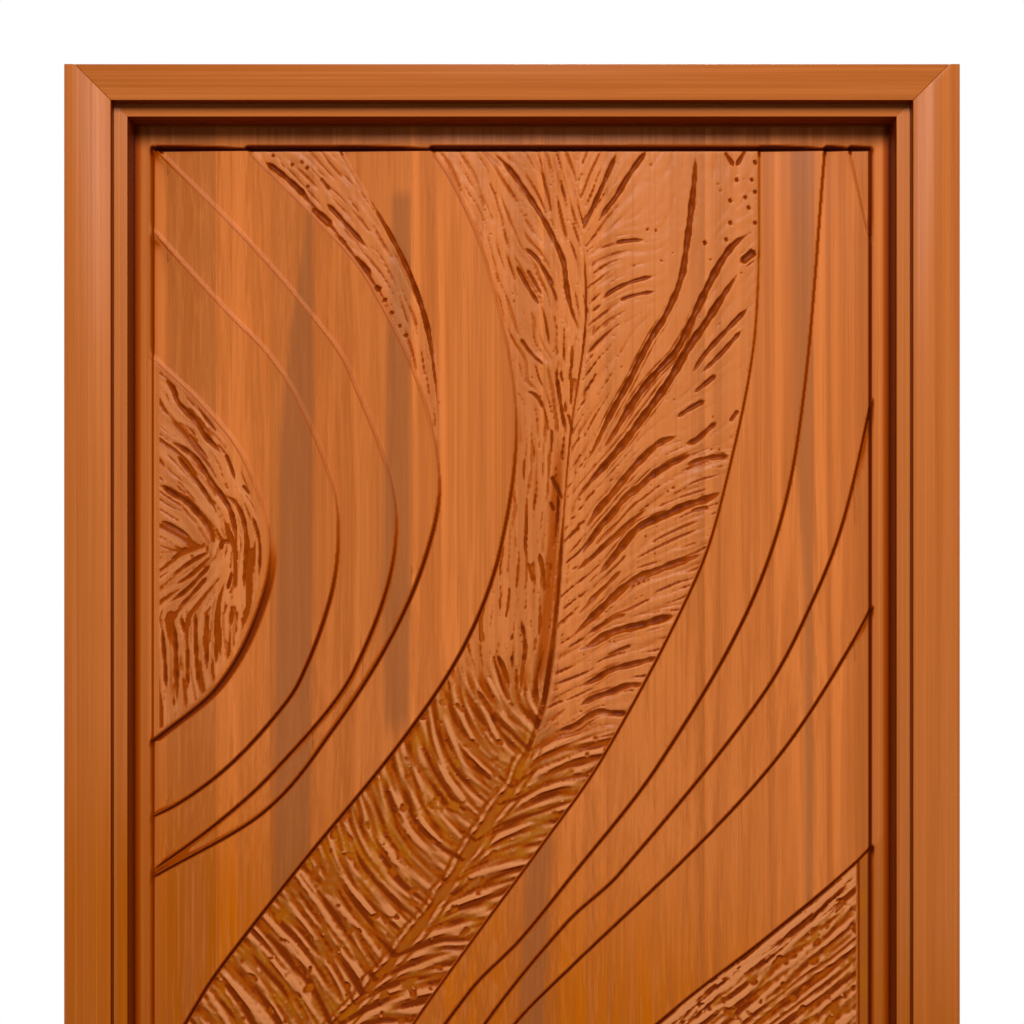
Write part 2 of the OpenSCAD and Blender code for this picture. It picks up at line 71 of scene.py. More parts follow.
# Lines of the carving as x and z in millimetres, from top to bottom.
LINES = {
    "half_leaf": [(-466, 1816), (-447, 1793), (-391, 1740), (-337, 1671), (-303, 1559), (-322, 1465),
                  (-372, 1377), (-444, 1317), (-466, 1302)],
    "a": [(-491, 2000), (-351, 1846), (-312, 1807), (-274, 1753), (-229, 1649), (-218, 1582), (-227, 1496),
          (-267, 1387), (-302, 1338), (-357, 1280), (-419, 1234), (-479, 1205)],
    "b": [(-479, 2089), (-336, 1946), (-247, 1843), (-204, 1779), (-145, 1590), (-198, 1401), (-300, 1273),
          (-377, 1204), (-479, 1131)],
    "c": [(-366, 2089), (-214, 1936), (-178, 1888), (-117, 1763), (-91, 1640), (-108, 1545), (-152, 1442),
          (-224, 1328), (-312, 1223), (-445, 1145), (-479, 1128)],
    "crescent": [(-238, 2091), (-143, 1927), (-113, 1852), (-96, 1775), (-94, 1678), (-103, 1653)],
    "feather_left": [(-128, 2091), (-74, 2014), (-30, 1908), (5, 1723), (-15, 1552), (-61, 1430),
                     (-139, 1312), (-266, 1156), (-357, 1040), (-387, 997), (-485, 826)],
    "feather_rib": [(76, 2091), (95, 1859), (75, 1694), (46, 1381), (11, 1274), (-30, 1210), (-123, 1071),
                    (-291, 869), (-416, 700), (-479, 587)],
    "feather_right": [(311, 2091), (305, 1824), (267, 1630), (231, 1516), (115, 1293), (36, 1179),
                      (-51, 1060), (-123, 958), (-259, 750), (-385, 493), (-472, 237)],
    "corner": [(415, 2091), (447, 1953), (467, 1891)],
    "e": [(396, 2091), (357, 1681), (302, 1490), (182, 1280), (71, 1138), (9, 1062), (-51, 1001), (-155, 853),
          (-228, 732), (-351, 468), (-472, 124)],
    "f": [(467, 1816), (420, 1604), (383, 1501), (313, 1368), (133, 1144), (71, 1087), (-30, 963),
          (-187, 725), (-311, 450), (-358, 305), (-416, 42)],
    "g": [(474, 1527), (425, 1432), (342, 1303), (241, 1189), (71, 1026), (4, 958), (-78, 844), (-153, 710),
          (-216, 569), (-268, 418), (-311, 262), (-347, 42)],
    "low_top": [(474, 1208), (430, 1159), (318, 1065), (211, 982), (79, 866), (-9, 763), (-84, 644),
                (-143, 512), (-188, 368), (-223, 211), (-243, 42)],
    "low_rib": [(474, 1082), (310, 958), (223, 884), (138, 794), (60, 681), (-3, 556), (-53, 412), (-90, 249),
                (-115, 42)],
    "low_bot": [(474, 838), (288, 644), (213, 531), (155, 406), (113, 255), (85, 42)],
    "h": [(474, 650), (380, 525), (316, 406), (269, 262), (243, 42)],
    "i": [(474, 418), (452, 381), (404, 274), (376, 161), (365, 42)],
}

# Long gouge cuts of the feather, the half leaf and the crescent: half width, then x and z in millimetres.
LONG_CUTS = [
    (4.6, [(300, 1951), (279, 1938), (263, 1916), (248, 1888), (226, 1841), (207, 1801), (188, 1782),
           (167, 1759), (148, 1732), (123, 1690), (110, 1675)]),
    (4.0, [(231, 2051), (228, 2004), (219, 1932), (213, 1891), (192, 1844), (179, 1826), (163, 1797),
           (148, 1765), (123, 1722), (104, 1681), (90, 1656)]),
    (4.8, [(305, 1928), (287, 1913)]),
    (4.8, [(282, 1897), (263, 1869), (244, 1838), (223, 1809), (198, 1765), (179, 1738), (160, 1713),
           (142, 1688), (117, 1659), (98, 1638), (79, 1613)]),
    (3.2, [(297, 1857), (263, 1822), (238, 1794), (226, 1773)]),
    (3.0, [(288, 1828), (261, 1797), (238, 1775)]),
    (3.2, [(256, 1772), (229, 1750)]),
    (3.4, [(242, 1740), (223, 1730), (207, 1719)]),
    (2.6, [(284, 1728), (273, 1713)]),
    (3.6, [(257, 1713), (242, 1700), (232, 1690), (217, 1685)]),
    (2.8, [(267, 2052), (279, 2034)]),
    (2.8, [(293, 2054), (281, 2034)]),
    (3.0, [(132, 2052), (118, 2020), (104, 1988), (88, 1953)]),
    (3.6, [(169, 2054), (144, 2020), (132, 1997), (118, 1980), (109, 1966)]),
    (3.4, [(-23, 2051), (-6, 2035), (10, 2014), (29, 1985), (44, 1960), (60, 1928), (66, 1910), (69, 1878),
           (75, 1851), (85, 1828)]),
    (2.8, [(16, 1932), (31, 1920), (41, 1903), (54, 1882)]),
    (2.8, [(5, 1911), (19, 1884), (35, 1859)]),
    (2.4, [(19, 1905), (38, 1872)]),
    (2.6, [(56, 1772), (63, 1722), (69, 1696)]),
    (2.4, [(19, 1752), (31, 1747), (41, 1728)]),
    (2.4, [(10, 1819), (25, 1797), (41, 1784)]),
    (2.6, [(129, 1938), (144, 1941), (167, 1942)]),
    (2.8, [(113, 1867), (125, 1878), (148, 1889), (179, 1897)]),
    (2.4, [(135, 1866), (154, 1873), (180, 1877)]),
    (4.4, [(207, 1695), (185, 1688), (167, 1671), (150, 1653), (138, 1638), (123, 1619), (110, 1606),
           (91, 1577)]),
    (3.8, [(272, 1670), (248, 1669), (219, 1659)]),
    (4.4, [(226, 1673), (198, 1660), (175, 1646), (160, 1631), (142, 1619), (125, 1596), (110, 1581),
           (85, 1544)]),
    (3.2, [(169, 1604), (148, 1587), (123, 1565), (98, 1540), (79, 1525)]),
    (5.0, [(263, 1625), (242, 1615), (217, 1608), (192, 1595), (169, 1587), (154, 1577), (142, 1562),
           (125, 1540), (107, 1519)]),
    (3.0, [(247, 1606), (223, 1601)]),
    (4.8, [(238, 1547), (219, 1540), (201, 1534), (179, 1525), (160, 1519), (142, 1507), (125, 1491),
           (110, 1477), (91, 1458), (75, 1443)]),
    (2.8, [(137, 1527), (113, 1502), (91, 1483)]),
    (5.0, [(204, 1470), (185, 1465), (160, 1457), (135, 1452), (117, 1445), (100, 1433), (85, 1427)]),
    (2.8, [(144, 1472), (125, 1466), (110, 1456), (94, 1446)]),
    (4.0, [(185, 1418), (167, 1413), (144, 1407), (123, 1402), (104, 1389), (85, 1381)]),
    (2.6, [(150, 1433), (119, 1420)]),
    (4.2, [(165, 1383), (144, 1383), (125, 1374), (104, 1368), (85, 1357)]),
    (4.0, [(150, 1347), (129, 1347), (110, 1351), (94, 1343), (79, 1331), (56, 1324)]),
    (3.4, [(50, 1646), (63, 1615)]),
    (2.8, [(48, 1613), (54, 1600)]),
    (3.0, [(34, 1550), (41, 1515), (41, 1496)]),
    (3.0, [(19, 1537), (29, 1509)]),
    (3.0, [(11, 1465), (18, 1433), (13, 1402), (11, 1374)]),
    (3.4, [(-19, 1421), (-9, 1402), (-3, 1377)]),
    (3.4, [(-44, 1377), (-28, 1352), (-19, 1331)]),
    (4.4, [(-435, 1767), (-424, 1754), (-420, 1738), (-407, 1725), (-395, 1713), (-386, 1696), (-371, 1681),
           (-363, 1671)]),
    (3.2, [(-396, 1738), (-382, 1715), (-370, 1700)]),
    (3.2, [(-407, 1700), (-396, 1684), (-380, 1665)]),
    (4.4, [(-427, 1688), (-414, 1681), (-397, 1669), (-385, 1650), (-372, 1631), (-363, 1619), (-353, 1603),
           (-347, 1577), (-345, 1556)]),
    (3.6, [(-420, 1671), (-407, 1653), (-391, 1634), (-378, 1613), (-370, 1600)]),
    (3.0, [(-360, 1675), (-351, 1653), (-347, 1638)]),
    (3.8, [(-360, 1621), (-347, 1613), (-338, 1596), (-333, 1571), (-333, 1550), (-336, 1519), (-336, 1502)]),
    (5.0, [(-440, 1634), (-422, 1621), (-407, 1613), (-395, 1600), (-382, 1584), (-376, 1569)]),
    (4.0, [(-441, 1589), (-426, 1582), (-410, 1572), (-401, 1565)]),
    (2.8, [(-338, 1634), (-328, 1621)]),
    (3.0, [(-326, 1596), (-316, 1565), (-316, 1534), (-317, 1515)]),
    (4.0, [(-366, 1552), (-363, 1564), (-351, 1562)]),
    (3.4, [(-407, 1556), (-429, 1537)]),
    (3.6, [(-380, 1550), (-404, 1537), (-427, 1519)]),
    (3.4, [(-378, 1544), (-401, 1521), (-422, 1509)]),
    (3.6, [(-378, 1534), (-407, 1502), (-429, 1487)]),
    (3.4, [(-382, 1519), (-404, 1493), (-420, 1478)]),
    (4.0, [(-427, 1468), (-422, 1440), (-421, 1393), (-420, 1362)]),
    (3.0, [(-415, 1468), (-410, 1446)]),
    (3.6, [(-397, 1475), (-397, 1440), (-395, 1399), (-390, 1371)]),
    (3.4, [(-383, 1477), (-383, 1440), (-383, 1399)]),
    (3.4, [(-370, 1483), (-371, 1446), (-371, 1408)]),
    (3.2, [(-351, 1483), (-353, 1456)]),
    (3.4, [(-439, 1456), (-435, 1408), (-434, 1377)]),
    (3.2, [(-407, 1431), (-407, 1377)]),
    (3.0, [(-328, 1477), (-335, 1456)]),
    (3.0, [(-357, 1502), (-351, 1525)]),
    (4.6, [(-310, 2040), (-291, 2026), (-272, 2010), (-254, 1991)]),
    (2.3, [(-318, 2047), (-291, 2026), (-254, 1990), (-226, 1958), (-198, 1921), (-172, 1886), (-150, 1850)]),
    (2.3, [(-182, 2000), (-165, 1970), (-134, 1913), (-108, 1841), (-97, 1775), (-93, 1725)]),
    (4.6, [(-251, 1982), (-234, 1967), (-226, 1958)]),
    (3.4, [(-217, 1945), (-209, 1936)]),
    (4.2, [(-198, 1921), (-188, 1910), (-177, 1897)]),
    (4.2, [(-172, 1884), (-165, 1878)]),
    (3.0, [(-160, 1869), (-159, 1864)]),
    (3.0, [(-152, 1853), (-150, 1848)]),
    (2.8, [(-142, 1836), (-140, 1831)]),
    (2.8, [(-134, 1824), (-132, 1819)]),
    (2.6, [(-241, 2020), (-228, 2004)]),
    (3.2, [(-233, 1988), (-216, 1970), (-201, 1953), (-182, 1932)]),
    (3.8, [(-165, 1970), (-150, 1945), (-134, 1913), (-119, 1876), (-108, 1841), (-102, 1809), (-98, 1784)]),
    (2.6, [(-302, 2049), (-298, 2046)]),
    (2.6, [(-278, 2037), (-274, 2035)]),
    (2.8, [(-266, 2041), (-262, 2037)]),
    (2.8, [(-259, 2034), (-256, 2030)]),
    (2.6, [(-258, 2022), (-256, 2019)]),
    (2.6, [(-257, 2011), (-256, 2007)]),
]

# Punched pits at the feather's upper right edge.
PITS = [
    (305, 2039), (282, 2017), (301, 2017), (305, 2002), (293, 1995), (274, 1991), (297, 1982), (274, 1963),
    (305, 1963), (269, 1942), (242, 1938)]

# Where each barb of the feather leaves the rib, and how far it climbs on its way out.
RISE_RIGHT = [(900, 48), (1200, 50), (1365, 56), (1427, 60), (1465, 84), (1523, 104), (1586, 120),
              (1600, 180), (1612, 300), (1640, 340), (1700, 360)]
RISE_LEFT = [(900, 135), (1250, 142), (1400, 132), (1500, 130), (1700, 150), (1800, 190)]

# How far a barb bows, as a share of its length: on the right, and by height on the left.
BOW_RIGHT = -0.08
BOW_LEFT = [(950, 0.04), (1150, -0.12), (1350, -0.14), (1600, 0.0), (1750, 0.1)]

# What guides the carver's strokes: barbs of the lower feather with their seed, and lines up its left part.
FLOW_SEED = 3
BARB_HEIGHTS = range(560, 1345, 50)
GUIDE_HEIGHTS = np.arange(1400, 2060, 40)
GUIDE_SHARES = (0.15, 0.4, 0.7)
GUIDE_RISE = 60
GUIDE_LEAN = 0.16

# Points along a barb, between these shares of its way out.
BARB_POINTS = 6
BARB_WAY = (0.1, 0.9)

# Columns and rows on which the strokes' direction is worked out, and how softly it turns.
FLOW_COLUMNS, FLOW_ROWS = 90, 190
FLOW_SOFT = 60

# Length of a step along the flow, in cells.
FLOW_STEP = 1.4

# Seams between the staves, as x in millimetres.
SEAMS = [-433, -372, -304, -251, -188, -127, -65, -4, 58, 119, 180, 242, 307, 376, 429]

# Tone of each stave from left to right, above and below the middle of the door.
STAVE_TONES = [(1.05, 1.00), (0.78, 0.84), (1.12, 1.10), (0.84, 0.80), (1.02, 0.98), (0.93, 0.90),
               (1.20, 1.08), (1.06, 1.02), (1.15, 0.95), (1.06, 1.04), (1.00, 1.02), (1.02, 1.02),
               (1.02, 1.02), (1.12, 1.12), (1.18, 1.12), (1.12, 1.00)]

# Dark heartwood streaks: height, then its left and right edge, in millimetres from top to bottom.
STREAKS = [
    [(1990, -254, -251), (1815, -280, -250), (1690, -291, -250), (1300, -298, -252), (1100, -300, -254)],
    [(2050, 350, 378), (1700, 356, 378), (1500, 366, 378), (1100, 368, 377)],
    [(1400, 36, 40), (1250, 22, 52), (1100, 14, 46), (950, 8, 40)],
    [(1990, -150, -127), (1500, -165, -127), (1350, -160, -130)],
]

# Softness of a streak's left and right edge, and how far it fades at its foot and its top.
STREAK_LEFT = 5.0
STREAK_RIGHT = 2.0
STREAK_FOOT = 40
STREAK_TOP = 20

# Depth of the bands at their left and right edge, in millimetres below the leaf's face.
STEP = (7.5, 0.8)
SUNK = (6.5, 4.0)
CRESCENT_SUNK = (6.5, 5.0)
CORNER_SUNK = (6.0, 2.0)
LAST_STEP = (7.5, 2.5)

# Depth of the carved field where no band lies.
BETWEEN_BANDS = 3.0

# The raised half leaf: its heights, its depth, and the drop and width of its rounded rim.
HALF_LEAF_LOW, HALF_LEAF_HIGH = 1309, 1800
HALF_LEAF_DEPTH = 1.5
RIM_DROP = 2.5
RIM_WIDTH = 8.0

# Where the half leaf is cut: its lowest and highest cut, its left edge and the point that cuts turn about.
HALF_LEAF_CUTS = (1312, 1796)
HALF_LEAF_EDGE = -444
HALF_LEAF_HEART = (-445.0, 1552.0)

# Lowest height of the sunk crescent and of its cuts, and the top of the lower leaf.
CRESCENT_FOOT = 1665
CRESCENT_CUTS = 1690
LOW_LEAF_TOP = 1195

# Left edge of the plain strip at the right end of the lower leaf.
STRIP_X = 434

# A long cut that starts left of this x is narrower. It goes alone, as does one up to this half width.
ALONE_X = -300
ALONE_HALF = 3.6

# Right of this x finer cuts go with the last two thirds of a long cut, and left of it with its first half.
LAST_PART_X = 40

# Across the run of the long cuts, as a share of x and z.
ACROSS_CUTS = np.array([0.62, -0.78])

# Height at which the cut-down ground of the feather starts, and how much lower it starts right of the rib.
GROUND_TOP = 1450
GROUND_LAG = 80

# Heights over which nicks thin out in the open right part and at the left edge, and more start on the left.
OPEN_FADE = (1640, 1720)
EDGE_FADE = (1420, 1560)
LEFT_FADE = (1430, 1500)

# Distances from the rib between which the nicks thin out, on the right and on the left.
OPEN_WAY = (15, 60)
EDGE_WAY = (35, 85)

# The hollow along the left of the rib: its place beside the rib, half width, depth, and where it fades.
SCOOP_ASIDE = 13
SCOOP_HALF = 9
SCOOP_DEPTH = 4.0
SCOOP_FOOT = (1330, 1420)
SCOOP_TOP = (1600, 1780)

# Heights of the chance pits, of the tops of the cuts along the half leaf's rim, and x of those at its foot.
PIT_HEIGHTS = (1330, 2040)
RIM_CUT_TOPS = (1440, 1770)
FOOT_CUT_SPAN = (-438, -335)

# Each rib: its line, its top, the height where the cut turns into a channel, and the channel's half width.
FEATHER_RIB = ("feather_rib", 1950, 1375, 8)
LOW_RIB = ("low_rib", 1080, 1300, 5)

# Ends of a stroke as shares of its length: long cuts, the cuts beside them, short cuts and pits.
LONG_ENDS = (0.12, 0.2)
BESIDE_ENDS = (0.3, 0.3)
SHORT_ENDS = (0.2, 0.2)
PIT_ENDS = (0.1, 0.1)

# Number of chance cuts along the half leaf's rim, of upright ones at its foot, and of pits in the feather.
RIM_CUTS = 46
FOOT_CUTS = 26
CHANCE_PITS = 110

# Where painted shade darkens the leaf's plain border towards the stop, by distance from the middle and by
# height.
STOP_SHADE_SIDE = (462, 472)
STOP_SHADE_TOP = (2080, 2089)

# Height above which sharp cuts get the smallest cells, and how many times the plain bend is sharp.
CLOSE_UP = 930
SHARP = 6

# Change of dark paint within a block past which it is cut up, and past which it is sharp.
PAINT_CUT = 0.1
PAINT_SHARP = 0.3

# Colours of the wood's figure.
BROAD_GRAIN = (0.40, 0.100, 0.018)
DARK_STREAK = (0.36, 0.085, 0.010)
PALE_FIGURE = (0.72, 0.22, 0.050)
PORE = (0.26, 0.055, 0.005)

# Colours of the heartwood, of the cut-down ground, and of the dark paint, which is painted shade and stain in
# the cuts, at its edge and where it is deepest, as near-black painted shadow.
HEARTWOOD = (0.25, 0.080, 0.025)
GROUND_BROWN = (0.29, 0.068, 0.001)
GROUND_GOLD = (0.40, 0.115, 0.001)
CUT_EDGE = (0.36, 0.058, 0.000)
DEEPEST_PAINTED_SHADOW = (0.075, 0.008, 0.001)

# Specular level of upright boards and of boards across, and the depth in metres of the grain's relief.
SHEEN = {"Z": 0.05, "X": 0.02}
GRAIN_DEPTH = 0.001

# Brass and its tarnish, and the two tints of the floor.
BRASS = (0.66, 0.46, 0.16)
TARNISH = (0.34, 0.20, 0.06)
FLOOR_TINTS = ((0.74, 0.74, 0.73), (0.80, 0.80, 0.79))

# Pieces of the frame and the casing, with the axis that each one's grain runs along.
FRAME_PIECES = [("jamb_left", "Z"), ("jamb_right", "Z"), ("frame_head", "X"),
                ("casing_left", "Z"), ("casing_right", "Z"), ("casing_head", "X")]

# Width of their eased edges, and the length past which an edge of frame or casing is eased, in metres.
EASE = 0.0012
FRAME_EDGE = 0.13
CASING_EDGE = 0.02

# Tone of the frame and of the boards across, and of the upright casing. The casing head takes the darker tone
# as painted shade, since the key lamp lights it more than the upright casing.
FRAME_TONE = 0.82
CASING_TONE = 0.92

# Share of painted shade on the faces that look into the doorway.
DOORWAY_SHADE = 0.8


# Settings that a user may change.

class DOOR_PG_leaf(bpy.types.PropertyGroup):
    """Sizes of the carved leaf, in millimetres."""
    cell: FloatProperty(name="Cell", description="Cell size of the carved surface", default=1.25, min=1.2)
    plain: FloatProperty(name="Plain", description="Bend under which cells are joined", default=0.055)
    cut: FloatProperty(name="Cut", description="Depth of a long gouge cut", default=3.2, min=0.5, max=4.0)
    nick: FloatProperty(name="Nick", description="Depth of the fine nicks", default=1.6, min=0.2, max=3.0)
    ridge: FloatProperty(name="Ridge", description="Height of a ridge between cuts", default=3.8, min=0.5)
    ground: FloatProperty(name="Ground", description="Drop of the ground under ridges", default=2.2, min=0.0)
    seed: IntProperty(name="Seed", description="Order of the chance cuts", default=11)


class DOOR_PG_wood(bpy.types.PropertyGroup):
    """Colours and gloss of the oiled teak."""
    # The upper colour is paler by a painted sheen, which fades towards the floor into the darker, more golden
    # low colour.
    high: FloatVectorProperty(name="High", description="Colour of the upper part", subtype="COLOR",
                              default=(0.57, 0.158, 0.033), min=0, max=1)
    low: FloatVectorProperty(name="Low", description="Golden colour near the floor", subtype="COLOR",
                             default=(0.47, 0.105, 0.000), min=0, max=1)
    # Dark colour of the dark paint: painted shade, and stain in the cuts.
    cut: FloatVectorProperty(name="Cut", description="Dark colour in the cuts", subtype="COLOR",
                             default=(0.125, 0.012, 0.000), min=0, max=1)
    # Pale colour of painted highlight on ridges and upward faces, which also stands for wear.
    ridge_highlight_and_wear: FloatVectorProperty(name="Worn", description="Pale colour on the ridges", subtype="COLOR",
                              default=(0.68, 0.235, 0.08), min=0, max=1)
    gloss: FloatProperty(name="Roughness", description="Roughness of the finish", default=0.28, min=0.1)


class DOOR_PG_stage(bpy.types.PropertyGroup):
    """Camera and light."""
    distance: FloatProperty(name="Distance", description="Camera to casing", default=2.55, unit="LENGTH")
    height: FloatProperty(name="Height", description="Camera above floor", default=1.6, unit="LENGTH")
    lens: FloatProperty(name="Lens", description="Focal length", default=73.7, unit="CAMERA")
    key: FloatProperty(name="Key light", description="Power of the soft key", default=138.0, unit="POWER")
    back: FloatProperty(name="Back light", description="Power of the back light", default=90.0, unit="POWER")
    sky: FloatProperty(name="Sky", description="Strength of the light from above", default=0.16)


# Helpers that the carving shares.

def at(line, z):
    """The x of a named line at each height, smooth through its points and level beyond its ends."""
    points = np.array(LINES[line][::-1], float)
    x, h = points[:, 0], points[:, 1]
    slope = np.empty_like(x)
    slope[1:-1] = (x[2:] - x[:-2]) / (h[2:] - h[:-2])
    slope[0] = (x[1] - x[0]) / (h[1] - h[0])
    slope[-1] = (x[-1] - x[-2]) / (h[-1] - h[-2])
    z = np.clip(z, h[0], h[-1])
    i = np.clip(np.searchsorted(h, z) - 1, 0, len(h) - 2)
    d = h[i + 1] - h[i]
    t = (z - h[i]) / d
    return (x[i] * (1 + 2 * t) * (1 - t) ** 2 + slope[i] * d * t * (1 - t) ** 2
            + x[i + 1] * t * t * (3 - 2 * t) + slope[i + 1] * d * t * t * (t - 1))


def smooth(a, low, high):
    """0 below low, 1 above high, eased between."""
    t = np.clip((a - low) / (high - low), 0, 1)
    return t * t * (3 - 2 * t)


def hump(a, half):
    """1 at zero, rounded down to 0 at that distance each way."""
    return np.clip(1 - (a / half) ** 2, 0, 1)


def most(*layers):
    """The greatest of several layers at each point."""
    return functools.reduce(np.maximum, layers)


def blur(a, cells):
    """A soft average over that many cells each way."""
    for axis in (0, 1):
        for _ in range(2):
            pad = [(0, 0), (0, 0)]
            pad[axis] = (cells + 1, cells)
            total = np.cumsum(np.pad(a, pad, mode="edge"), axis=axis)
            n = 2 * cells + 1
            a = (total[n:] - total[:-n]) / n if axis == 0 else (total[:, n:] - total[:, :-n]) / n
    return a


def soft(a):
    """A light average over each point's next neighbours."""
    a = a.copy()
    a[1:-1] = (a[:-2] + 2 * a[1:-1] + a[2:]) / 4
    a[:, 1:-1] = (a[:, :-2] + 2 * a[:, 1:-1] + a[:, 2:]) / 4
    return a


def soften(points):
    """The same path with its corners cut, as a gouge would turn."""
    p = np.asarray(points, float)
    for _ in range(2 if len(p) < 6 else 1):
        pairs = np.stack([0.75 * p[:-1] + 0.25 * p[1:], 0.25 * p[:-1] + 0.75 * p[1:]], 1)
        p = np.vstack([p[:1], pairs.reshape(-1, 2), p[-1:]])
    return p


def stamp(field, xs, zs, points, half, height, ends):
    """Raises field along a stroke of that half width and height that thins and wavers towards its ends."""
    p = np.asarray(points, float)
    low, high = p.min(0) - half, p.max(0) + half
    i0, i1 = np.searchsorted(xs, (low[0], high[0]))
    k0, k1 = np.searchsorted(zs, (low[1], high[1]))
    if i1 <= i0 or k1 <= k0:
        return
    gx = xs[None, i0:i1, None] - p[:-1, 0]
    gz = zs[k0:k1, None, None] - p[:-1, 1]
    d = p[1:] - p[:-1]
    length = np.hypot(d[:, 0], d[:, 1])
    t = np.clip((gx * d[:, 0] + gz * d[:, 1]) / length ** 2, 0, 1)
    away = np.hypot(gx - t * d[:, 0], gz - t * d[:, 1])
    near = away.argmin(2)[..., None]
    run = np.concatenate(([0], np.cumsum(length)))
    s = np.take_along_axis(run[:-1] + t * length, near, 2)[..., 0] / run[-1]
    away = np.take_along_axis(away, near, 2)[..., 0]
    phase = p[0, 0] * 0.7 + p[0, 1] * 0.3
    thin = np.clip(s / ends[0], 0.1, 1) * np.clip((1 - s) / ends[1], 0.1, 1)
    thin *= 0.85 + 0.17 * np.sin(s * run[-1] / 6.5 + phase) + 0.10 * np.sin(s * run[-1] / 2.7 + 2 * phase)
    view = field[k0:k1, i0:i1]
    np.maximum(view, height * thin ** 0.7 * hump(away, half * thin ** 0.5), out=view)


def barb(side, z, rng):
    """Points along a barb that leaves the feather's rib at height z."""
    table = np.array(RISE_RIGHT if side == "right" else RISE_LEFT, float)
    rise = np.interp(z, table[:, 0], table[:, 1])
    p = np.array([at("feather_rib", z), z])
    q = np.array([at("feather_" + side, z + rise), z + rise])
    bow = BOW_RIGHT if side == "right" else np.interp(z, *np.array(BOW_LEFT).T)
    bow += rng.uniform(-0.04, 0.04)
    u = np.linspace(*BARB_WAY, BARB_POINTS)[:, None]
    normal = np.array([q[1] - p[1], p[0] - q[0]])
    wobble = rng.normal(0, 0.6, (BARB_POINTS, 2))
    return p + (q - p) * u + normal * bow * 4 * u * (1 - u) + wobble


# The carved face of the leaf.

def flow(xs, zs):
    """Direction of the carver's strokes at each column and row, as steps over columns and rows."""
    rng = np.random.default_rng(FLOW_SEED)
    paths = [np.array(points, float) for _, points in LONG_CUTS if len(points) > 2]
    for side in ("left", "right"):
        paths += [barb(side, z, rng) for z in BARB_HEIGHTS]
    for name in ("low_top", "low_rib", "low_bot"):
        paths.append(np.array(LINES[name], float))
    rib = at("feather_rib", GUIDE_HEIGHTS)
    for share in GUIDE_SHARES:
        edge = at("feather_left", GUIDE_HEIGHTS + GUIDE_RISE * share)
        lean = GUIDE_LEAN * share * (GUIDE_HEIGHTS - GUIDE_HEIGHTS[0])
        paths.append(np.stack([rib + share * (edge - rib) - lean, GUIDE_HEIGHTS], 1))
    spots = np.concatenate([(p[1:] + p[:-1]) / 2 for p in paths])
    turns = np.concatenate([p[1:] - p[:-1] for p in paths])
    double = 2 * np.arctan2(turns[:, 1], turns[:, 0])
    parts = np.cos(double), np.sin(double)
    right = spots[:, 0] > at("feather_rib", spots[:, 1])
    cx, cz = np.linspace(xs[0], xs[-1], FLOW_COLUMNS), np.linspace(zs[0], zs[-1], FLOW_ROWS)
    fields = []
    for group in (right, ~right):
        px, pz = spots[group].T
        near = ((cx[None, :, None] - px) ** 2 + (cz[:, None, None] - pz) ** 2 + FLOW_SOFT) ** -2.0
        fields.append([(near * part[group]).sum(2) / near.sum(2) for part in parts])

    def finer(a):
        rows = np.stack([np.interp(xs, cx, row) for row in a])
        t = np.interp(zs, cz, np.arange(len(cz)))
        k = np.minimum(t.astype(int), len(cz) - 2)
        return rows[k] + (rows[k + 1] - rows[k]) * (t - k)[:, None]

    over = xs[None, :] > at("feather_rib", zs)[:, None]
    c, d = (np.where(over, finer(a), finer(b)) for a, b in zip(*fields))
    angle = np.arctan2(d, c) / 2
    return np.cos(angle), np.sin(angle)


def combed(rng, steps, cells, reach):
    """Chance strokes along the flow: spots of that many cells, drawn out over that many steps each way."""
    chance = rng.normal(0, 1, steps[0].shape)
    spots = (blur(chance, cells) - blur(chance, 3 * cells)).astype(np.float32)
    total = spots.copy()
    top, side = spots.shape[0] - 1, spots.shape[1] - 1
    for way in (FLOW_STEP, -FLOW_STEP):
        r, c = np.indices(spots.shape, np.float32)
        i, j = r.astype(np.int32), c.astype(np.int32)
        for k in range(reach):
            c += way * steps[0][i, j]
            r += way * steps[1][i, j]
            i, j = np.clip(np.rint(r), 0, top).astype(np.int32), np.clip(np.rint(c), 0, side).astype(np.int32)
            total += (1 - k / reach) * spots[i, j]
    total = soft(total)
    return total / total.std()


